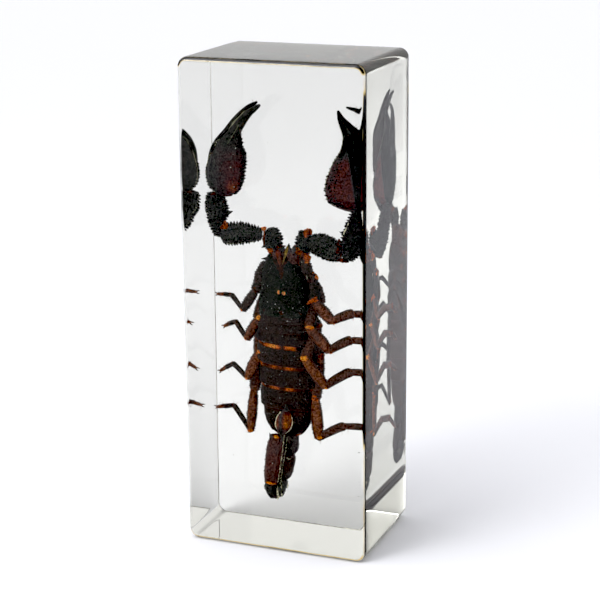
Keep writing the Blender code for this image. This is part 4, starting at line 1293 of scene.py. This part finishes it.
def roundedOutline(halfWidth, halfHeight, radius, inset):
    # points round the block's outline, drawn in by an inset, with a guard point beside each arc
    guard, points = 0.06, []
    left = max(radius - inset, 0.05)
    wide, high = halfWidth - inset - left, halfHeight - inset - left
    for corner, (sx, sz) in enumerate(((1, 1), (-1, 1), (-1, -1), (1, -1))):
        arc = math.pi / 2 * (corner + np.arange(block["steps"] + 1) / block["steps"])
        runs = [(sx * wide + left * math.cos(t), sz * high + left * math.sin(t)) for t in arc]
        (x0, z0), (x1, z1), t0, t1 = runs[0], runs[-1], arc[0], arc[-1]
        runs.insert(0, (x0 + guard * math.sin(t0), z0 - guard * math.cos(t0)))
        runs.append((x1 - guard * math.sin(t1), z1 + guard * math.cos(t1)))
        if points:
            points += straight(points[-1], runs[0])
        points += runs
    points += straight(points[-1], points[0])
    return np.array(points)


def paintedEdgeShade(points, low, high, bevel, back):
    # how dark each point of a ring is painted along the block's edges, as painted shade with painted gold
    # glints at its margins; bevel is the angle round the front edge, back the back edge's share
    edges, (bottomEnd, topEnd) = block["edges"], block["edgeShadeSpan"]
    x, z = points[:, 0], points[:, 2]
    onSide = ease(28.0, 42.0, bevel) * ease(80.0, 70.0, bevel)  # the painted dark line lies towards the side face
    right, left = ease(high[0] - 3.2, high[0] - 1.6, x), ease(low[0] + 3.2, low[0] + 1.6, x)
    top, bottom = ease(high[2] - 3.2, high[2] - 1.6, z), ease(low[2] + 3.2, low[2] + 1.6, z)
    middle = ease(bottomEnd - 2, bottomEnd + 2, z) * ease(topEnd + 3, topEnd - 3, z)
    tone = np.maximum(edges["left"] * left, np.maximum(edges["top"] * top, edges["bottom"] * bottom))
    tone = tone * np.sin(np.radians(2 * bevel))
    tone = np.maximum(tone, edges["right"] * right * (0.38 + 0.62 * middle) * onSide)
    uneven = 0.75 + 0.5 * (0.6 * lumps(points, 3.0, 91) + 0.4 * lumps(points, 0.9, 92))
    return np.clip(tone * uneven + edges["back"] * right * back * middle, 0.0, 1.0)


def makeBlock():
    low, high = lowCorner / mm, highCorner / mm
    half, middle = (high - low) / 2, (high + low) / 2
    front, back, steps = block["frontRadius"], block["backRadius"], block["steps"]
    (frontDeep, frontFar), (backDeep, backFar) = block["frontWear"], block["backWear"]
    capDeep, capFar = block["capWear"]
    turns = [math.pi / 2 * k / steps for k in range(steps + 1)]
    # y from the front face, the inset, the angle round the front edge, and the share of the back edge
    rows = [(capDeep * math.exp((front - inset) / capFar), inset, 0.0, 0.0) for inset in block["frontInsets"]]
    for turn in turns:
        rows.append((front * (1 - math.cos(turn)) + capDeep * math.cos(turn),
                     front * (1 - math.sin(turn)) + frontDeep * math.sin(turn), math.degrees(turn), 0.0))
    length = 2 * half[1]
    flat = length - back  # where the back edge's rounding begins
    for y in (*np.linspace(front + 0.1, front + 6, 22), *np.linspace(front + 7, flat - 9, 6),
              *np.linspace(flat - 8, flat - 0.05, 30)):
        worn = frontDeep * math.exp((front - y) / frontFar) + backDeep * math.exp((y - flat) / backFar)
        rows.append((y, worn, 0.0, 0.75 * float(ease(length - 1.3, length - 0.8, y))))
    for turn in turns:
        rows.append((flat + back * math.sin(turn), back * (1 - math.cos(turn)) + backDeep * math.cos(turn),
                     0.0, math.cos(turn)))
    rows += [(length, inset, 0.0, 0.0) for inset in (back + 0.05, 6.0, 14.0)]
    rings, tones = [], []
    for y, inset, bevel, rear in rows:
        x, z = (middle[[0, 2]] + roundedOutline(half[0], half[2], block["cornerRadius"], inset)).T
        rings.append(np.stack([x, np.full(len(x), low[1] + y), z], axis=-1))
        tones.append(paintedEdgeShade(rings[-1], low, high, bevel, rear))
    form = Form()
    form.rings(np.clip(np.array(rings), low, high), np.array(tones))
    made = addObject("clearBlock", form.mesh("clearBlock", clear=0.0))
    made.data.materials.append(resinLook())
    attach(made, rootBody)
    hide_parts("resin_front", "resin_back")


makeBlock()
print("block made")


studio = {
    "floorSize": 6.0,
    "floorDrop": 0.1 * mm,
    "floorColour": (0.88, 0.885, 0.92),
    "blackLevel": (0.0765, 0.077, 0.0795),
    "dim": 0.10,
    "sweep": 0.87,  # the bright backdrop low down behind the block
    "sweepHeights": (0.75, 0.45),  # the sine of the elevation where it has faded, and where it is full
    "sweepSides": (-0.35, 0.25),
    "sweepFront": 0.1,  # the share of it that is left in front of the block
    "softboxSize": 0.2,
    "softboxPower": 0.75,
    "softboxSpread": 170.0,
    "softboxPlace": (-0.17, -0.28, 0.36),
    "softboxAim": (-0.15, -0.22, 0.0),
    # direction towards each soft light, its inner and outer spread as cosines, its strength and colour
    "glows": (
        ((-0.55, -0.5, 0.8), 0.94, 0.74, 2.1, (1.0, 1.0, 1.01)),
        ((0.05, 0.15, 1.0), 0.95, 0.7, 1.28, (1.0, 1.0, 1.03)),
    ),
}
view = {
    "target": (0.86, 0.0, 56.32),
    "distance": 396.96,
    "azimuth": 21.82,
    "elevation": 15.69,
    "roll": -0.53,
    "lens": 103.4,
}


def makeFloor():
    shape = bmesh.new()
    bmesh.ops.create_grid(shape, x_segments=12, y_segments=12, size=studio["floorSize"] / 2)
    mesh = bpy.data.meshes.new("floor")
    shape.to_mesh(mesh)
    shape.free()
    floor = addObject("floor", mesh)
    floor.location.z = -studio["floorDrop"]
    made, tree, surface = plainLook("paleFloor")
    cloud = nodeOf(tree, "ShaderNodeTexNoise", {"Scale": 9.0}).outputs["Fac"]
    colour = studio["floorColour"]
    tone = rampOf(tree, cloud, ((0.0, [0.985 * c for c in colour]), (1.0, colour)))
    feed(surface, {"Base Color": tone, "Roughness": 0.9, "Specular IOR Level": 0.1})
    mesh.materials.append(made)


def makeLight():
    world = bpy.data.worlds.new("softStudio")
    bpy.context.scene.world = world
    world.use_nodes = True
    tree = world.node_tree
    way = nodeOf(tree, "ShaderNodeTexCoord").outputs["Generated"]

    def fade(value, low, high, least=0.0):
        return rangeOf(tree, value, low, high, least, kind="SMOOTHSTEP")

    def add(total, colour, share):
        lit = nodeOf(tree, "ShaderNodeVectorMath", {0: Vector(colour), "Scale": share}, operation="SCALE")
        more = nodeOf(tree, "ShaderNodeVectorMath", {0: lit.outputs["Vector"], 1: total}, operation="ADD")
        return more.outputs["Vector"]

    axes = nodeOf(tree, "ShaderNodeSeparateXYZ", {"Vector": way}).outputs
    faded, full = studio["sweepHeights"]
    low = mathOf(tree, "SUBTRACT", 1.0, fade(axes["Z"], full, faded))
    behind = fade(axes["Y"], *studio["sweepSides"], studio["sweepFront"])
    total = add((studio["dim"],) * 3, (studio["sweep"],) * 3, mathOf(tree, "MULTIPLY", low, behind))
    for towards, inner, outer, strength, colour in studio["glows"]:
        dot = nodeOf(tree, "ShaderNodeVectorMath", {0: way, 1: Vector(towards).normalized()},
                     operation="DOT_PRODUCT")
        total = add(total, Vector(colour) * strength, fade(dot.outputs["Value"], outer, inner))
    feed(tree.nodes["Background"], {"Color": total})


def makeSoftbox():
    # a large panel near the front left, which lifts the floor on that side
    data = bpy.data.lights.new("softbox", "AREA")
    data.shape = "DISK"
    data.size = studio["softboxSize"]
    data.energy = studio["softboxPower"]
    data.spread = math.radians(studio["softboxSpread"])
    panel = addObject("softbox", data)
    panel.location = Vector(studio["softboxPlace"])
    panel.rotation_euler = (Vector(studio["softboxAim"]) - panel.location).to_track_quat("-Z", "Y").to_euler()


def makeCamera():
    azimuth, elevation = math.radians(view["azimuth"]), math.radians(view["elevation"])
    back = Vector((math.sin(azimuth) * math.cos(elevation), -math.cos(azimuth) * math.cos(elevation),
                   math.sin(elevation)))
    data = bpy.data.cameras.new("camera")
    data.lens = view["lens"]
    data.sensor_width = 36.0
    data.clip_start = 0.01
    camera = addObject("camera", data)
    camera.location = (Vector(view["target"]) + back * view["distance"]) * mm
    camera.rotation_mode = "QUATERNION"
    roll = Quaternion((0, 0, 1), math.radians(view["roll"]))
    camera.rotation_quaternion = (-back).to_track_quat("-Z", "Y") @ roll
    bpy.context.scene.camera = camera


def setTones():
    # levels, as in the photograph: the weak reflections on the faces sink to black
    tones = bpy.context.scene.view_settings
    tones.view_transform = "Standard"
    tones.use_curve_mapping = True
    tones.curve_mapping.black_level = studio["blackLevel"]
    tones.curve_mapping.update()


makeFloor()
makeLight()
makeSoftbox()
makeCamera()
setTones()
print("studio made")
